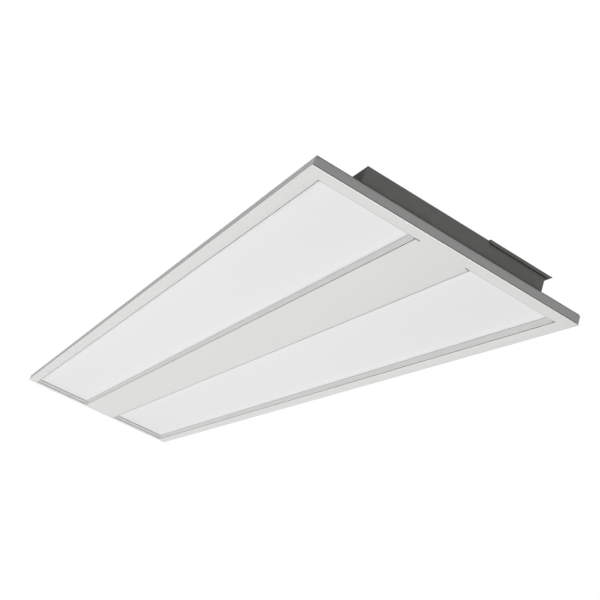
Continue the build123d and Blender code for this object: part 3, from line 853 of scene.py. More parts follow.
class Shape:
    """Collects the faces of one piece."""

    def __init__(self, name: str) -> None:
        """Starts an empty mesh under the piece's name."""
        self.name = name
        self.mesh = bmesh.new()

    def quad(self, *points: Point) -> None:
        """Adds one face through its corners."""
        self.mesh.faces.new([self.mesh.verts.new(p) for p in points])

    def box(self, low: Point, high: Point) -> None:
        """Adds a closed box.

        Args:
            low: its lowest corner.
            high: its highest corner.
        """
        middle = (Vector(low) + Vector(high)) / 2
        size = Vector(high) - Vector(low)
        for vert in bmesh.ops.create_cube(self.mesh, size=1.0)["verts"]:
            vert.co = Vector(v * s for v, s in zip(vert.co, size)) + middle

    def loft(self, rings: Sequence[Sequence[Point]]) -> list[bmesh.types.BMVert]:
        """Adds a solid through rings of equally many corners, closed at the first and the last.

        Args:
            rings: the corners of each ring, in order.

        Returns:
            All its corners.
        """
        made = [[self.mesh.verts.new(point) for point in ring] for ring in rings]
        self.mesh.faces.new(made[0])
        self.mesh.faces.new(made[-1])
        for inner, outer in zip(made, made[1:]):
            for i, corner in enumerate(inner):
                j = (i + 1) % len(inner)
                self.mesh.faces.new([corner, inner[j], outer[j], outer[i]])
        return [corner for ring in made for corner in ring]

    def prism(self, outline: Sequence[Pair], axis: str, start: float,
              end: float) -> list[bmesh.types.BMVert]:
        """Adds a solid of one outline along an axis.

        Args:
            outline: its corners on the two other axes, in the order X, Y, Z.
            axis: the axis that it runs along.
            start: where it begins on that axis.
            end: where it ends.

        Returns:
            Its corners.
        """
        slot = "XYZ".index(axis)
        return self.loft([[(*corner[:slot], place, *corner[slot:]) for corner in outline]
                          for place in (start, end)])

    def turned(self, profile: Sequence[Pair], centre: Point, steps: int,
               hollow: bool = False) -> None:
        """Adds a turned solid round an upright axis.

        Args:
            profile: radius and height of each ring in order; a radius of 0 closes an end.
            centre: the axis's foot.
            steps: how many sides a ring has.
            hollow: whether the last ring joins the first, round a bore.
        """
        rings = []
        for radius, height in profile:
            if radius == 0:
                rings.append([self.mesh.verts.new((centre[0], centre[1], centre[2] + height))])
                continue
            rings.append([self.mesh.verts.new((
                centre[0] + radius * math.cos(2 * math.pi * i / steps),
                centre[1] + radius * math.sin(2 * math.pi * i / steps),
                centre[2] + height)) for i in range(steps)])
        for low, high in zip(rings, rings[1:] + rings[:1] if hollow else rings[1:]):
            for i in range(steps):
                j = (i + 1) % steps
                corners = [low[i % len(low)], low[j % len(low)],
                           high[j % len(high)], high[i % len(high)]]
                self.mesh.faces.new(list(dict.fromkeys(corners)))

    def crossed(self, centre: Point, radius: float, height: float, depth: float,
                foot: Sequence[Pair]) -> None:
        """Adds a low round head with a cross recess.

        Args:
            centre: the middle of the head's underside.
            radius: the head's radius.
            height: the head's height.
            depth: how deep the cross goes.
            foot: radius and height of the rings under the head.
        """
        arm_angles = (-10, 10)
        corners = (*arm_angles, 18, 45, 72)
        angles = [math.radians(90 * quarter + a) for quarter in range(4) for a in corners]
        floor = height - depth
        rings = [(0.16, floor, floor), (0.24, height, floor), (0.50, 0.98 * height, floor)]
        rings += [(share, rise * height, rise * height) for share, rise in (
            (0.58, 0.96), (0.80, 0.84), (0.95, 0.62), (1.0, 0.36), (1.0, 0.0))]
        rings = [(share * radius, land, cut) for share, land, cut in rings]
        rings += [(r, z, z) for r, z in foot]
        self.loft([[(
            centre[0] + r * math.cos(angle), centre[1] + r * math.sin(angle),
            centre[2] + (cut if i % len(corners) < len(arm_angles) else land))
            for i, angle in enumerate(angles)] for r, land, cut in rings])

    def piece(self, body: str, finish: Finishes, slot: str, *replaced: str, bevel: float = 0.0,
              smooth: float = 30.0) -> bpy.types.Object:
        """Turns the faces into a piece of the light.

        Args:
            body: the body that it rides on.
            finish: its finish.
            slot: not used.
            replaced: the nodes that it stands for.
            bevel: width of the rounding on its edges.
            smooth: the angle up to which faces are shaded as one.

        Returns:
            The new object.
        """
        bmesh.ops.recalc_face_normals(self.mesh, faces=self.mesh.faces)
        data = bpy.data.meshes.new(self.name)
        self.mesh.to_mesh(data)
        self.mesh.free()
        made = placed(self.name, data)
        data.materials.append(finish.value.material())
        if bevel:
            round_edges(made, bevel)
        data.shade_smooth()
        data.set_sharp_from_angle(angle=math.radians(smooth))
        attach(made, body)
        if replaced:
            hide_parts(*replaced)
        log.info("piece %s: %d faces on %s", self.name, len(data.polygons), body)
        return made


def round_edges(thing: bpy.types.Object, width: float, weld: bool = False,
                angle: float = 40.0) -> None:
    """Rounds an object's sharp edges a little, so that they catch the light.

    Args:
        thing: the object.
        width: how far the rounding reaches from the edge.
        weld: whether to join the corners of its faces first.
        angle: the angle from which an edge is sharp.
    """
    if weld:
        joined = thing.modifiers.new("joined", "WELD")
        joined.merge_threshold = WELD
    rounding = thing.modifiers.new("rounded", "BEVEL")
    rounding.width = width
    rounding.segments = 2
    rounding.limit_method = "ANGLE"
    rounding.angle_limit = math.radians(angle)
    rounding.harden_normals = False


def dress(node: str, finish: Finishes, rounding: float = 0.0) -> None:
    """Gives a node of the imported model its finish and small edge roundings.

    Args:
        node: the node.
        finish: its finish.
        rounding: width of the rounding on its edges.
    """
    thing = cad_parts[node]
    thing.data.materials.clear()
    thing.data.materials.append(finish.value.material())
    if rounding:
        round_edges(thing, rounding, weld=True)
    log.info("node %s: %s", node, finish.value.name)


# ---------------------------------------------------------------- the scene round the light

@dataclass(frozen=True)
class Camera:
    """The photograph's view, as fitted to the corners of the frame."""

    location: Triple = (-0.3536, -1.2561, -0.4053)
    forward: Triple = (0.3133, 0.8665, 0.3887)
    up: Triple = (-0.4552, -0.2221, 0.8622)
    lens: float = 56.1
    sensor: float = 36.0
    nearest: float = 0.01

    def build(self) -> None:
        """Places the camera and makes it the scene's."""
        data = bpy.data.cameras.new("view")
        data.lens = self.lens
        data.sensor_width = self.sensor
        data.clip_start = self.nearest
        made = placed("view", data)
        back = -Vector(self.forward).normalized()
        side = Vector(self.up).cross(back).normalized()
        up = back.cross(side)
        turn = Matrix((side, up, back)).transposed().to_4x4()
        made.matrix_world = Matrix.Translation(self.location) @ turn
        bpy.context.scene.camera = made


@dataclass(frozen=True)
class Lamp:
    """A soft rectangular lamp that the camera doesn't see."""

    name: str
    place: Triple
    aim: Triple
    size: Pair
    power: float

    def build(self) -> None:
        """Hangs the lamp and points it."""
        data = bpy.data.lights.new(self.name, "AREA")
        data.shape = "RECTANGLE"
        data.size, data.size_y = self.size
        data.energy = self.power
        made = placed(self.name, data)
        made.location = self.place
        made.rotation_mode = "QUATERNION"
        towards = Vector(self.aim) - Vector(self.place)
        made.rotation_quaternion = towards.to_track_quat("-Z", "Y")
        made.visible_camera = False


@dataclass(frozen=True)
class Studio:
    """A white surround, a pale floor and soft lamps under and over the light."""

    ambient: float = 0.17
    backdrop: float = 1.0
    floor_depth: float = -2.4
    floor_half: float = 9.0
    floor_colour: Colour = (0.80, 0.80, 0.80)
    floor_lift: float = 0.5
    floor_roughness: float = 0.9
    white: Colour = (1.0, 1.0, 1.0)
    lamps: tuple[Lamp, ...] = (
        Lamp("under_lamp", (-0.4, 0.1, -1.3), (-0.4, 0.1, 0.0), (3.0, 4.0), 37.0),
        Lamp("over_lamp", (1.6, 1.6, 2.0), (0.0, 0.0, 0.0), (2.0, 2.0), 90.0),
    )

    def build(self) -> None:
        """Makes the world, the floor, the lamps and the camera."""
        scene = bpy.context.scene
        scene.view_settings.view_transform = "Standard"
        self.world()
        self.floor()
        for lamp in self.lamps:
            lamp.build()
        Camera().build()

    @staticmethod
    def seen(graph: Graph) -> Socket:
        """Tells rays that see from rays that light.

        Args:
            graph: the nodes that it joins.

        Returns:
            1 for rays from the eye, reflections and glass, and 0 for rays that light things.
        """
        camera, glossy, passed = (graph.node("ShaderNodeLightPath", output=f"Is {ray} Ray")
                                  for ray in ("Camera", "Glossy", "Transmission"))
        return camera.either(glossy).either(passed)

    def world(self) -> None:
        """White to the eye and in reflections, dim as a light."""
        made = bpy.data.worlds.new("surround")
        bpy.context.scene.world = made
        made.use_nodes = True
        graph = Graph(made.node_tree)
        strength = self.ambient + self.seen(graph) * (self.backdrop - self.ambient)
        shader = graph.node("ShaderNodeBackground", None, {
            "Color": self.white, "Strength": strength})
        graph.surface("ShaderNodeOutputWorld", shader)

    def floor(self) -> None:
        """A wide pale floor well below, which keeps the light's soft shadow."""
        sheet = Shape("floor")
        half = self.floor_half
        z = self.floor_depth
        sheet.quad((-half, -half, z), (half, -half, z), (half, half, z), (-half, half, z))
        data = bpy.data.meshes.new("floor")
        sheet.mesh.to_mesh(data)
        sheet.mesh.free()
        made = placed("floor", data)
        paint = bpy.data.materials.new("pale_floor")
        paint.use_nodes = True
        graph = Graph(paint.node_tree)
        shader = graph.node("ShaderNodeBsdfPrincipled", None, {
            "Base Color": self.floor_colour, "Roughness": self.floor_roughness,
            "Emission Color": self.white,
            "Emission Strength": self.seen(graph) * self.floor_lift})
        graph.surface("ShaderNodeOutputMaterial", shader)
        data.materials.append(paint)


# ---------------------------------------------------------------- face frame

@dataclass
class Opening:
    """Where the right-hand opening lies, as its bezel stands round it."""

    seat: float = 3.0 * MM

    def edges(self) -> Triple:
        """The opening's inner X, its outer X and its half length."""
        low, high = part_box(Side.RIGHT.of("lens_bezel"))
        return low.x + self.seat, high.x - self.seat, high.y - self.seat


@dataclass
class FaceFrame:
    """The folded white sheet: face, four walls, top flange, two openings and a strip.

    The bend under the walls stands a little proud of them, so a fine shadow runs above it.
    """

    sheet: float = 0.8 * MM
    bend: float = 1.0 * MM
    bend_steps: int = 5
    top_bend: float = 1.2 * MM
    flange: float = 9.0 * MM
    step: float = 0.4 * MM
    step_rise: float = 0.3 * MM
    ledge_fall: float = 0.1 * MM
    seam: float = 0.3 * MM
    relief_length: float = 4.5 * MM
    relief_width: float = 1.2 * MM
    margin: float = 0.07 * MM
    joining: float = 0.01 * MM
    smooth: float = 35.0
    cut_rounding: float = 0.18 * MM
    cut_angle: float = 60.0

    def __post_init__(self) -> None:
        """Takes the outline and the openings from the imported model."""
        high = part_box("face_frame")[1]
        self.half_width = high.x - self.margin
        self.half_length = high.y - self.margin
        self.height = high.z
        self.strip_half, self.outer, self.open_y = Opening().edges()
        self.relief_x = self.strip_half - self.relief_length
        self.relief_y = self.open_y - self.relief_width
        self.lines_x = [-self.outer, -self.strip_half, -self.relief_x,
                        self.relief_x, self.strip_half, self.outer]
        self.lines_y = [-self.open_y, -self.relief_y, self.relief_y, self.open_y]

    def face_grid(self, shape: Shape) -> None:
        """The flat face with its two openings, and a relief slot at each corner of the strip.

        Args:
            shape: the mesh that it joins.
        """
        x_end = self.half_width - self.bend
        y_end = self.half_length - self.bend
        xs = [-x_end, *self.lines_x, x_end]
        ys = [-y_end, *self.lines_y, y_end]
        for x0, x1 in zip(xs, xs[1:]):
            for y0, y1 in zip(ys, ys[1:]):
                x = abs(x0 + x1) / 2
                y = abs(y0 + y1) / 2
                opening = self.strip_half < x < self.outer and y < self.open_y
                slot = self.relief_x < x < self.strip_half and self.relief_y < y < self.open_y
                if not opening and not slot:
                    shape.quad((x0, y0, 0), (x0, y1, 0), (x1, y1, 0), (x1, y0, 0))

    def wall_profile(self) -> list[tuple[float, float, bool]]:
        """How the sheet turns up from the face, over the fold step and in at the top.

        Returns:
            For each line of the sheet its inset from the outside, its height, and whether
            it is mitred.
        """
        angles = [math.pi / 2 * i / self.bend_steps for i in range(self.bend_steps + 1)]
        arc = [(1 - math.sin(angle), 1 - math.cos(angle)) for angle in angles]
        foot = self.bend + self.step_rise
        return [*((self.bend * inwards, self.bend * upwards, True) for inwards, upwards in arc),
                (0.0, foot, False),
                (self.step, foot + self.ledge_fall, False),
                *((self.step + self.top_bend * inwards, self.height - self.top_bend * downwards, False)
                  for downwards, inwards in arc),
                (self.flange, self.height, True)]

    def walls(self, shape: Shape) -> None:
        """Four walls with their flanges, with a fine seam up each corner.

        Args:
            shape: the mesh that they join.
        """
        half_x, half_y = self.half_width, self.half_length
        for along_x, sign in RECTANGLE:
            rows = []
            for inset, z, mitred in self.wall_profile():
                back = max(inset, 0.0 if mitred else self.seam)
                if along_x:
                    stops = [back - half_x, *self.lines_x, half_x - back]
                    rows.append([(x, sign * (half_y - inset), z) for x in stops])
                else:
                    stops = [back - half_y, *self.lines_y, half_y - back]
                    rows.append([(sign * (half_x - inset), y, z) for y in stops])
            for low, high in zip(rows, rows[1:]):
                for i in range(len(low) - 1):
                    shape.quad(low[i], low[i + 1], high[i + 1], high[i])

    def build(self) -> None:
        """Makes the frame's mesh and gives it its thickness."""
        shape = Shape("folded_frame")
        self.face_grid(shape)
        self.walls(shape)
        bmesh.ops.remove_doubles(shape.mesh, verts=shape.mesh.verts, dist=self.joining)
        made = shape.piece(ROOT, Finishes.FRAME, "white_paint", "face_frame", smooth=self.smooth)
        thick = made.modifiers.new("sheet", "SOLIDIFY")
        thick.thickness = self.sheet
        thick.offset = -1.0
        thick.use_even_offset = True
        round_edges(made, self.cut_rounding, angle=self.cut_angle)


# ---------------------------------------------------------------- lens bezels

@dataclass
class LensBezel:
    """A moulded rim of four mitred lengths round each lens, seated close at its near end."""

    gap: float = 0.8 * MM
    near_gap: float = 0.3 * MM
    tip_z: float = 0.2 * MM
    tip: float = 0.6 * MM
    slope: float = 1.4 * MM
    top: float = 6.4 * MM
    seat: float = 3.0 * MM
    seat_z: float = 0.8 * MM
    groove_top: float = 3.6 * MM
    groove_back: float = 0.2 * MM
    mitre: float = 0.06 * MM
    edge: float = 0.12 * MM

    def __post_init__(self) -> None:
        """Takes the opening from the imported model."""
        self.inner_x, self.outer_x, self.half_y = Opening().edges()

    def profile(self, gap: float) -> list[Pair]:
        """The rim's section.

        Args:
            gap: the width of the gap beside it.

        Returns:
            Inset from the opening's edge and height of each corner.
        """
        inner = gap + self.tip
        return [
            (gap, self.groove_top), (gap, self.tip_z), (inner, self.tip_z),
            (inner + self.slope, self.top), (-self.seat, self.top), (-self.seat, self.seat_z),
            (-self.groove_back, self.seat_z), (-self.groove_back, self.groove_top),
        ]

    def build(self) -> None:
        """Both rims."""
        half_x = (self.outer_x - self.inner_x) / 2
        for side in Side:
            shape = Shape(side.of("mitred_bezel"))
            self.lengths(shape, side.value * (self.inner_x + self.outer_x) / 2, half_x)
            shape.piece(ROOT, Finishes.BEZEL, "bezel_white", side.of("lens_bezel"),
                        bevel=self.edge)

    def lengths(self, shape: Shape, middle: float, half_x: float) -> None:
        """Four lengths of the section, cut at 45 degrees with a hairline between them.

        Args:
            shape: the mesh that they join.
            middle: the X of the opening's middle.
            half_x: half the opening's width.
        """
        for along_x, sign in RECTANGLE:
            rings = []
            for end in (-1, 1):
                gap_y = self.near_gap if (sign if along_x else end) < 0 else self.gap
                ring = []
                for (inset_x, z), (inset_y, _) in zip(self.profile(self.gap), self.profile(gap_y)):
                    if along_x:
                        ring.append((middle + end * (half_x - inset_x - self.mitre),
                                     sign * (self.half_y - inset_y), z))
                    else:
                        ring.append((middle + sign * (half_x - inset_x),
                                     end * (self.half_y - inset_y - self.mitre), z))
                rings.append(ring)
            shape.loft(rings)


# ---------------------------------------------------------------- optical stack and light engine

@dataclass
class OpticalStack:
    """Gasket, lens, light guide, reflector and pressing foam above each opening."""

    edge: float = 0.1 * MM

    def build(self) -> None:
        """Dresses every layer."""
        for side in Side:
            dress(side.of("lens_gasket"), Finishes.GASKET)
            dress(side.of("lens"), Finishes.LENS, self.edge)
            dress(side.of("light_guide"), Finishes.GUIDE, self.edge)
            dress(side.of("reflector_sheet"), Finishes.REFLECTOR)
        dress("foam_strips", Finishes.FOAM)


@dataclass
class LightEngine:
    """Rails, boards, chips and connectors on both sides of the strip."""

    edge: float = 0.12 * MM
    window_rim: float = 0.3 * MM
    window_depth: float = 0.2 * MM
    window_draft: float = 0.08 * MM

    def build(self) -> None:
        """Dresses every piece."""
        for side in Side:
            dress(side.of("led_rail"), Finishes.RAIL, self.edge)
            dress(side.of("led_board"), Finishes.LED_BOARD)
            self.packages(side)
            dress(side.of("board_connector"), Finishes.CONNECTOR, self.edge)

    def packages(self, side: Side) -> None:
        """One side's row of diode packages, each a block with a sunken window.

        Args:
            side: the side of the strip.
        """
        shape = Shape(side.of("diode_packages"))
        for low, high in solids(side.of("led_chips")):
            back, front = (low.x, high.x) if side is Side.RIGHT else (high.x, low.x)
            floor = front - side.value * self.window_depth
            rings = []
            for x, rim in ((back, 0.0), (front, 0.0), (front, self.window_rim),
                           (floor, self.window_rim + self.window_draft)):
                y0, y1, z0, z1 = low.y + rim, high.y - rim, low.z + rim, high.z - rim
                rings.append([(x, y0, z0), (x, y1, z0), (x, y1, z1), (x, y0, z1)])
            shape.loft(rings)
        shape.piece(ROOT, Finishes.CHIPS, "chip_yellow", side.of("led_chips"))


# ---------------------------------------------------------------- back plate and housing

class Kind(Enum):
    """How a fastener's head is made."""

    SCREW = "pan head with a cross recess"
    RIVET = "blind rivet with the stub of its mandrel"
    PIVOT = "shouldered rivet that a clip turns on"


@dataclass
class Fasteners:
    """All the fasteners of one node, each made where its solid stands."""

    node: str
    piece: str
    kind: Kind
    head_height: float
    shank: float
    tail_height: float = 0.8 * MM
    tail: float = 3.2 * MM
    recess_share: float = 0.55
    rivet_sides: int = 20
    pivot_sides: int = 28
    smooth: float = 50.0

    def build(self) -> None:
        """Makes every fastener of the node as one piece."""
        shape = Shape(self.piece)
        for low, high in solids(self.node):
            foot, radius, _ = round_box(low, high)
            centre = (foot[0], foot[1], high.z - self.head_height)
            depth = low.z - centre[2]
            if self.kind is Kind.SCREW:
                shape.crossed(centre, radius, self.head_height,
                              self.recess_share * self.head_height,
                              [(self.shank, 0.0), (self.shank, depth)])
            elif self.kind is Kind.RIVET:
                shape.turned(self.rivet(radius, depth), centre, self.rivet_sides)
            else:
                shape.turned(self.pivot(radius, depth), centre, self.pivot_sides)
        shape.piece(ROOT, Finishes.PLATED, "fastener_steel", self.node, smooth=self.smooth)

    def rivet(self, radius: float, depth: float) -> list[Pair]:
        """The section of a blind rivet, from its mandrel's stub out and down its shank.

        Args:
            radius: the head's radius.
            depth: the height of the shank's foot, below 0.

        Returns:
            Radius and height of each ring.
        """
        top = self.head_height
        return [(0, 0.86 * top), (0.20 * radius, 0.86 * top), (0.22 * radius, 0.62 * top),
                (0.34 * radius, 0.62 * top), (0.38 * radius, top), (0.56 * radius, 0.97 * top),
                (0.78 * radius, 0.80 * top), (0.94 * radius, 0.48 * top), (radius, 0.18 * top),
                (radius, 0), (self.shank, 0), (self.shank, depth), (0, depth)]

    def pivot(self, radius: float, depth: float) -> list[Pair]:
        """The section of a shouldered rivet: a dished head, a shoulder and a spread tail.

        Args:
            radius: the head's radius.
            depth: the height of the tail's foot, below 0.

        Returns:
            Radius and height of each ring.
        """
        top = self.head_height
        tail_top = depth + self.tail_height
        return [(0, 0.80 * top), (0.34 * radius, 0.82 * top), (0.44 * radius, top),
                (0.72 * radius, 0.96 * top), (0.92 * radius, 0.70 * top), (radius, 0.36 * top),
                (radius, 0), (self.shank, 0), (self.shank, tail_top), (0.94 * self.tail, tail_top),
                (self.tail, tail_top - self.tail_height / 3), (self.tail, depth), (0, depth)]


@dataclass
class Housing:
    """Back plate, folded housing, its ends and what holds them together."""

    edge: float = 0.16 * MM
    screw_head: float = 1.0 * MM
    screw_shank: float = 1.4 * MM
    rivet_head: float = 0.9 * MM
    rivet_shank: float = 1.6 * MM

    def build(self) -> None:
        """Dresses the sheets and their fasteners."""
        dress("back_plate", Finishes.SHEET, self.edge)
        dress("housing_shell", Finishes.SHEET, self.edge)
        for end in End:
            dress(end.of("end_plate"), Finishes.END_SHEET, self.edge)
        dress("compartment_wall", Finishes.SHEET, self.edge)
        Fasteners("back_plate_screws", "pan_head_screws", Kind.SCREW,
                  self.screw_head, self.screw_shank).build()
        for node, piece in (("housing_rivets", "side_blind_rivets"),
                            ("end_plate_rivets", "end_blind_rivets"),
                            ("hinge_rivets", "hinge_blind_rivets")):
            Fasteners(node, piece, Kind.RIVET, self.rivet_head, self.rivet_shank).build()
        dress("plate_grommets", Finishes.RUBBER, self.edge)
        dress("wall_grommet", Finishes.RUBBER, self.edge)


# ---------------------------------------------------------------- wiring cover and compartment

@dataclass
class WiringCover:
    """The hinged cover, its leaf and pin, the screw and the cable bushing."""

    edge: float = 0.16 * MM
    bore: float = 8.0 * MM
    barrel: float = 10.9 * MM
    flange_height: float = 1.6 * MM
    lug: float = 0.7 * MM
    lug_width: float = 6.0 * MM
    lugs: int = 4
    lug_root: float = 0.2 * MM
    lug_foot: float = 3.2 * MM
    lug_shoulder: float = 1.3 * MM
    lug_top: float = 1.05 * MM
    sides: int = 56
    smooth: float = 40.0

    def build(self) -> None:
        """Dresses the cover and its hinge."""
        dress("access_cover", Finishes.COVER_SHEET, self.edge)
        dress("hinge_leaf", Finishes.SHEET, self.edge)
        dress("hinge_pin", Finishes.PLATED, self.edge)
        dress("cover_screw", Finishes.PLATED, self.edge)
        self.bushing()

    def bushing(self) -> None:
        """The snap-in bushing, turned round its bore, with four sprung lugs under the cover."""
        centre, flange, top = round_box(*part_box("cable_bushing"))
        seat = top - self.flange_height
        bore, barrel = self.bore, self.barrel
        shape = Shape("snap_bushing")
        shape.turned([
            (bore, 0.5 * MM), (bore + 0.4 * MM, 0), (barrel - 0.5 * MM, 0), (barrel, 0.5 * MM),
            (barrel, seat), (flange - 0.2 * MM, seat), (flange, seat + 0.3 * MM),
            (flange - 0.2 * MM, seat + 0.9 * MM), (flange - 0.8 * MM, top - 0.2 * MM),
            (flange - 1.6 * MM, top), (bore + 1.0 * MM, top), (bore + 0.3 * MM, top - 0.3 * MM),
            (bore, top - 1.0 * MM)], centre, self.sides, hollow=True)
        for number in range(self.lugs):
            made = shape.prism([
                (barrel - self.lug_root, seat - self.lug_foot), (barrel, seat - self.lug_foot),
                (barrel + self.lug, seat - self.lug_shoulder), (barrel + self.lug, seat - self.lug_top),
                (barrel - self.lug_root, seat - self.lug_top)],
                "Y", -self.lug_width / 2, self.lug_width / 2)
            turn = Matrix.Rotation(2 * math.pi * (number + 0.5) / self.lugs, 4, "Z")
            for vert in made:
                vert.co = turn @ vert.co + Vector(centre)
        shape.piece(COVER, Finishes.RUBBER, "grommet_black", "cable_bushing", smooth=self.smooth)


@dataclass
class WiringCompartment:
    """Terminal block, ground screw and the supply leads."""

    edge: float = 0.2 * MM
    pitch: float = 9.0 * MM
    lever_size: Triple = (6.4 * MM, 8.4 * MM, 1.1 * MM)
    lever_end: float = 1.6 * MM
    lever_inset: float = 2.0 * MM
    lever_edge: float = 0.15 * MM

    def build(self) -> None:
        """Dresses every piece."""
        dress("terminal_block", Finishes.TERMINAL, self.edge)
        self.levers()
        dress("ground_screw", Finishes.GROUND, self.edge)
        dress("mains_lead_line", Finishes.LEAD_BLACK)
        dress("mains_lead_neutral", Finishes.LEAD_WHITE)
        dress("mains_lead_ground", Finishes.LEAD_GREEN)

    def levers(self) -> None:
        """A release lever over each of the block's three ways, with a raised end to press."""
        low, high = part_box("terminal_block")
        width, length, height = self.lever_size
        middle = (low.x + high.x) / 2
        y0 = low.y + self.lever_inset
        shape = Shape("release_levers")
        for way in (-1, 0, 1):
            x = middle + way * self.pitch
            shape.prism([
                (y0, high.z), (y0, high.z + height), (y0 + self.lever_end, high.z + height),
                (y0 + 2 * self.lever_end, high.z + height / 2), (y0 + length, high.z + height / 2),
                (y0 + length, high.z)], "X", x - width / 2, x + width / 2)
        shape.piece(ROOT, Finishes.LEVERS, "terminal_orange", bevel=self.lever_edge)


@dataclass
class Driver:
    """The LED driver's case and its output leads."""

    edge: float = 0.2 * MM
    screw_head: float = 1.8 * MM
    screw_shank: float = 1.8 * MM

    def build(self) -> None:
        """Dresses the case and the leads, and fills the circuit board."""
        dress("driver_case", Finishes.DRIVER, self.edge)
        dress("driver_lid", Finishes.DRIVER, self.edge)
        dress("driver_circuit", Finishes.CIRCUIT)
        for part in (Transformer(), Choke(), Capacitors(), SmallParts()):
            part.build()
        Fasteners("driver_screws", "driver_pan_screws", Kind.SCREW,
                  self.screw_head, self.screw_shank).build()
        for side in Side:
            dress(side.of("low_volt_lead"), Finishes.LEAD_RED)


@dataclass
class Transformer:
    """Two ferrite halves round a bobbin with a taped winding."""

    yoke: float = 5.0 * MM
    leg: float = 3.2 * MM
    half_gap: float = 0.05 * MM
    foot: float = 0.5 * MM
    clearance: float = 0.4 * MM
    bobbin_flange: float = 0.9 * MM
    core_edge: float = 0.3 * MM
    bobbin_edge: float = 0.15 * MM
    winding_edge: float = 1.2 * MM

    def build(self) -> None:
        """Makes the core, the bobbin and the winding."""
        low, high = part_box("driver_transformer")
        left, right = low.x + self.leg, high.x - self.leg
        middle = (low.y + high.y) / 2
        core = Shape("transformer_core")
        for end in End:
            outer = low.y if end is End.NEAR else high.y
            inner = outer - end.value * self.yoke
            joint = middle + end.value * self.half_gap
            core.prism([(low.x, outer), (high.x, outer), (high.x, joint), (right, joint),
                        (right, inner), (left, inner), (left, joint), (low.x, joint)],
                       "Z", low.z + self.foot, high.z)
        core.piece(ROOT, Finishes.FERRITE, "winding_tape", "driver_transformer",
                   bevel=self.core_edge)
        x0, x1 = left + self.clearance, right - self.clearance
        y0, y1 = low.y + self.yoke + self.clearance, high.y - self.yoke - self.clearance
        bobbin = Shape("transformer_bobbin")
        for y in (y0, y1 - self.bobbin_flange):
            bobbin.box((x0, y, low.z), (x1, y + self.bobbin_flange, high.z))
        bobbin.piece(ROOT, Finishes.BOBBIN, "winding_tape", bevel=self.bobbin_edge)
        winding = Shape("transformer_winding")
        winding.box((x0 + self.clearance, y0 + self.bobbin_flange, low.z + self.clearance),
                    (x1 - self.clearance, y1 - self.bobbin_flange, high.z - self.clearance))
        winding.piece(ROOT, Finishes.TAPE, "winding_tape", bevel=self.winding_edge)


@dataclass
class Choke:
    """A drum of ferrite with turns of enamelled copper."""

    turns: int = 7
    flange: float = 1.1 * MM
    chamfer: float = 0.3 * MM
    neck_share: float = 0.7
    root_share: float = 0.4
    crown_shares: Pair = (0.25, 0.75)
    sides: int = 32
    drum_smooth: float = 40.0
    wire_smooth: float = 60.0

    def build(self) -> None:
        """Makes the drum and the winding."""
        centre, radius, height = round_box(*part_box("driver_choke"))
        neck = self.neck_share * radius
        top = height - self.flange
        drum = Shape("choke_drum")
        drum.turned([
            (0, 0), (radius - self.chamfer, 0), (radius, self.chamfer), (radius, self.flange),
            (neck, self.flange), (neck, top), (radius, top), (radius, height - self.chamfer),
            (radius - self.chamfer, height), (0, height)], centre, self.sides)
        drum.piece(ROOT, Finishes.FERRITE, "winding_tape", "driver_choke", smooth=self.drum_smooth)
        pitch = (top - self.flange) / self.turns
        root = neck + self.root_share * pitch
        section = [(neck, self.flange), (root, self.flange)]
        for turn in range(self.turns):
            foot = self.flange + turn * pitch
            section += [(neck + pitch, foot + share * pitch) for share in self.crown_shares]
            section.append((root, foot + pitch))
        section.append((neck, top))
        winding = Shape("choke_winding")
        winding.turned(section, centre, self.sides, hollow=True)
        winding.piece(ROOT, Finishes.COPPER, "winding_tape", smooth=self.wire_smooth)


@dataclass
class Capacitors:
    """Sleeved cans with a groove near the foot and a bare top with a vent cross."""

    lid_drop: float = 0.3 * MM
    lid_seat: float = 0.1 * MM
    lid_inset: float = 1.15 * MM
    lid_height: float = 0.3 * MM
    vent_depth: float = 0.15 * MM
    sides: int = 28
    smooth: float = 40.0

    def build(self) -> None:
        """Makes the sleeves and the tops."""
        sleeves = Shape("capacitor_sleeves")
        tops = Shape("capacitor_tops")
        for low, high in solids("driver_capacitors"):
            centre, radius, height = round_box(low, high)
            lid = height - self.lid_drop
            sleeves.turned([
                (0, 0), (radius - 0.4 * MM, 0), (radius, 0.4 * MM), (radius, 1.1 * MM),
                (radius - 0.35 * MM, 1.5 * MM), (radius, 1.9 * MM), (radius, height - 0.5 * MM),
                (radius - 0.2 * MM, height - 0.12 * MM), (radius - 0.6 * MM, height),
                (radius - 1.0 * MM, height - 0.1 * MM), (radius - 1.1 * MM, lid - self.lid_seat),
                (0, lid - self.lid_seat)], centre, self.sides)
            tops.crossed((centre[0], centre[1], low.z + lid - self.lid_seat),
                         radius - self.lid_inset, self.lid_height, self.vent_depth, [])
        sleeves.piece(ROOT, Finishes.CAPACITOR, "capacitor_can", "driver_capacitors",
                      smooth=self.smooth)
        tops.piece(ROOT, Finishes.CAN_TOP, "capacitor_can", smooth=self.smooth)


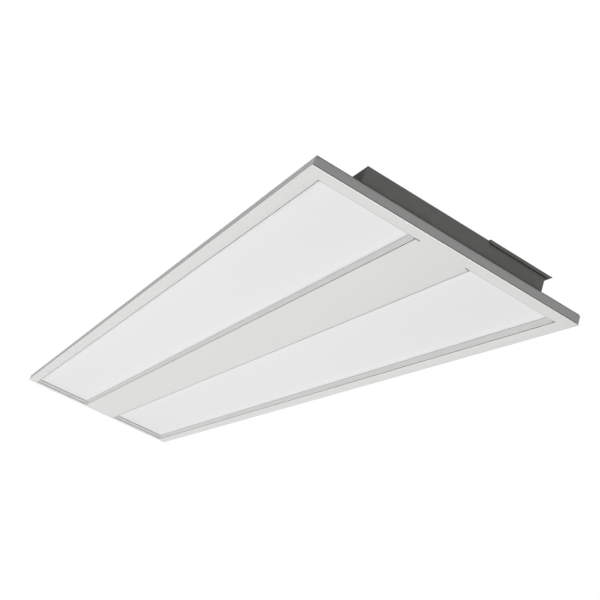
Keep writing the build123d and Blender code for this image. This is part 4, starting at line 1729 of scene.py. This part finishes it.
@dataclass
class SmallParts:
    """A controller with its legs and rows of chip resistors on the circuit board."""

    controller_offset: float = 45.0 * MM
    controller_half: Pair = (2 * MM, 5 * MM)
    controller_rise: Pair = (0.2 * MM, 1.7 * MM)
    legs: int = 8
    leg_pitch: float = 1.27 * MM
    leg_reach: Pair = (1.9 * MM, 3.1 * MM)
    leg_half: float = 0.2 * MM
    leg_height: float = 0.7 * MM
    resistors: int = 14
    resistor_pitch: float = 17.0 * MM
    resistor_row: float = 11.8 * MM
    resistor_half: Pair = (0.8 * MM, 1.6 * MM)
    resistor_height: float = 0.6 * MM
    edge: float = 0.1 * MM

    def build(self) -> None:
        """Makes the chips and the legs, each as one piece."""
        low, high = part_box("driver_circuit")
        x = (low.x + high.x) / 2
        y = (low.y + high.y) / 2
        chips = Shape("circuit_chips")
        legs = Shape("circuit_legs")
        controller_y = y + self.controller_offset
        half_x, half_y = self.controller_half
        foot, top = self.controller_rise
        chips.box((x - half_x, controller_y - half_y, high.z + foot),
                  (x + half_x, controller_y + half_y, high.z + top))
        for side in (-1, 1):
            for step in range(self.legs):
                leg_y = controller_y + (step - (self.legs - 1) / 2) * self.leg_pitch
                x0, x1 = sorted(x + side * reach for reach in self.leg_reach)
                legs.box((x0, leg_y - self.leg_half, high.z),
                         (x1, leg_y + self.leg_half, high.z + self.leg_height))
            for step in range(self.resistors):
                chip_x = x + side * self.resistor_row
                chip_y = y + (step - (self.resistors - 1) / 2) * self.resistor_pitch
                half_x, half_y = self.resistor_half
                chips.box((chip_x - half_x, chip_y - half_y, high.z),
                          (chip_x + half_x, chip_y + half_y, high.z + self.resistor_height))
        chips.piece(ROOT, Finishes.BOBBIN, "circuit_green", bevel=self.edge)
        legs.piece(ROOT, Finishes.PLATED, "circuit_green")


@dataclass
class GridClips:
    """Four swing-out spring clips and their rivets."""

    edge: float = 0.2 * MM
    pivot_head: float = 1.4 * MM
    pivot_shank: float = 2.0 * MM

    def build(self) -> None:
        """Dresses every clip."""
        for end in End:
            for side in Side:
                dress(side.of(end.of("grid_clip")), Finishes.SPRING, self.edge)
        Fasteners("clip_rivets", "clip_pivot_rivets", Kind.PIVOT,
                  self.pivot_head, self.pivot_shank).build()


# ---------------------------------------------------------------- everything in order

def main() -> None:
    """Builds the light's looks, then the studio."""
    assemblies = (FaceFrame(), LensBezel(), OpticalStack(), LightEngine(), Housing(),
                  WiringCover(), WiringCompartment(), Driver(), GridClips(), Studio())
    for assembly in assemblies:
        log.info("assembly %s", type(assembly).__name__)
        assembly.build()


if __name__ == "__main__":
    main()
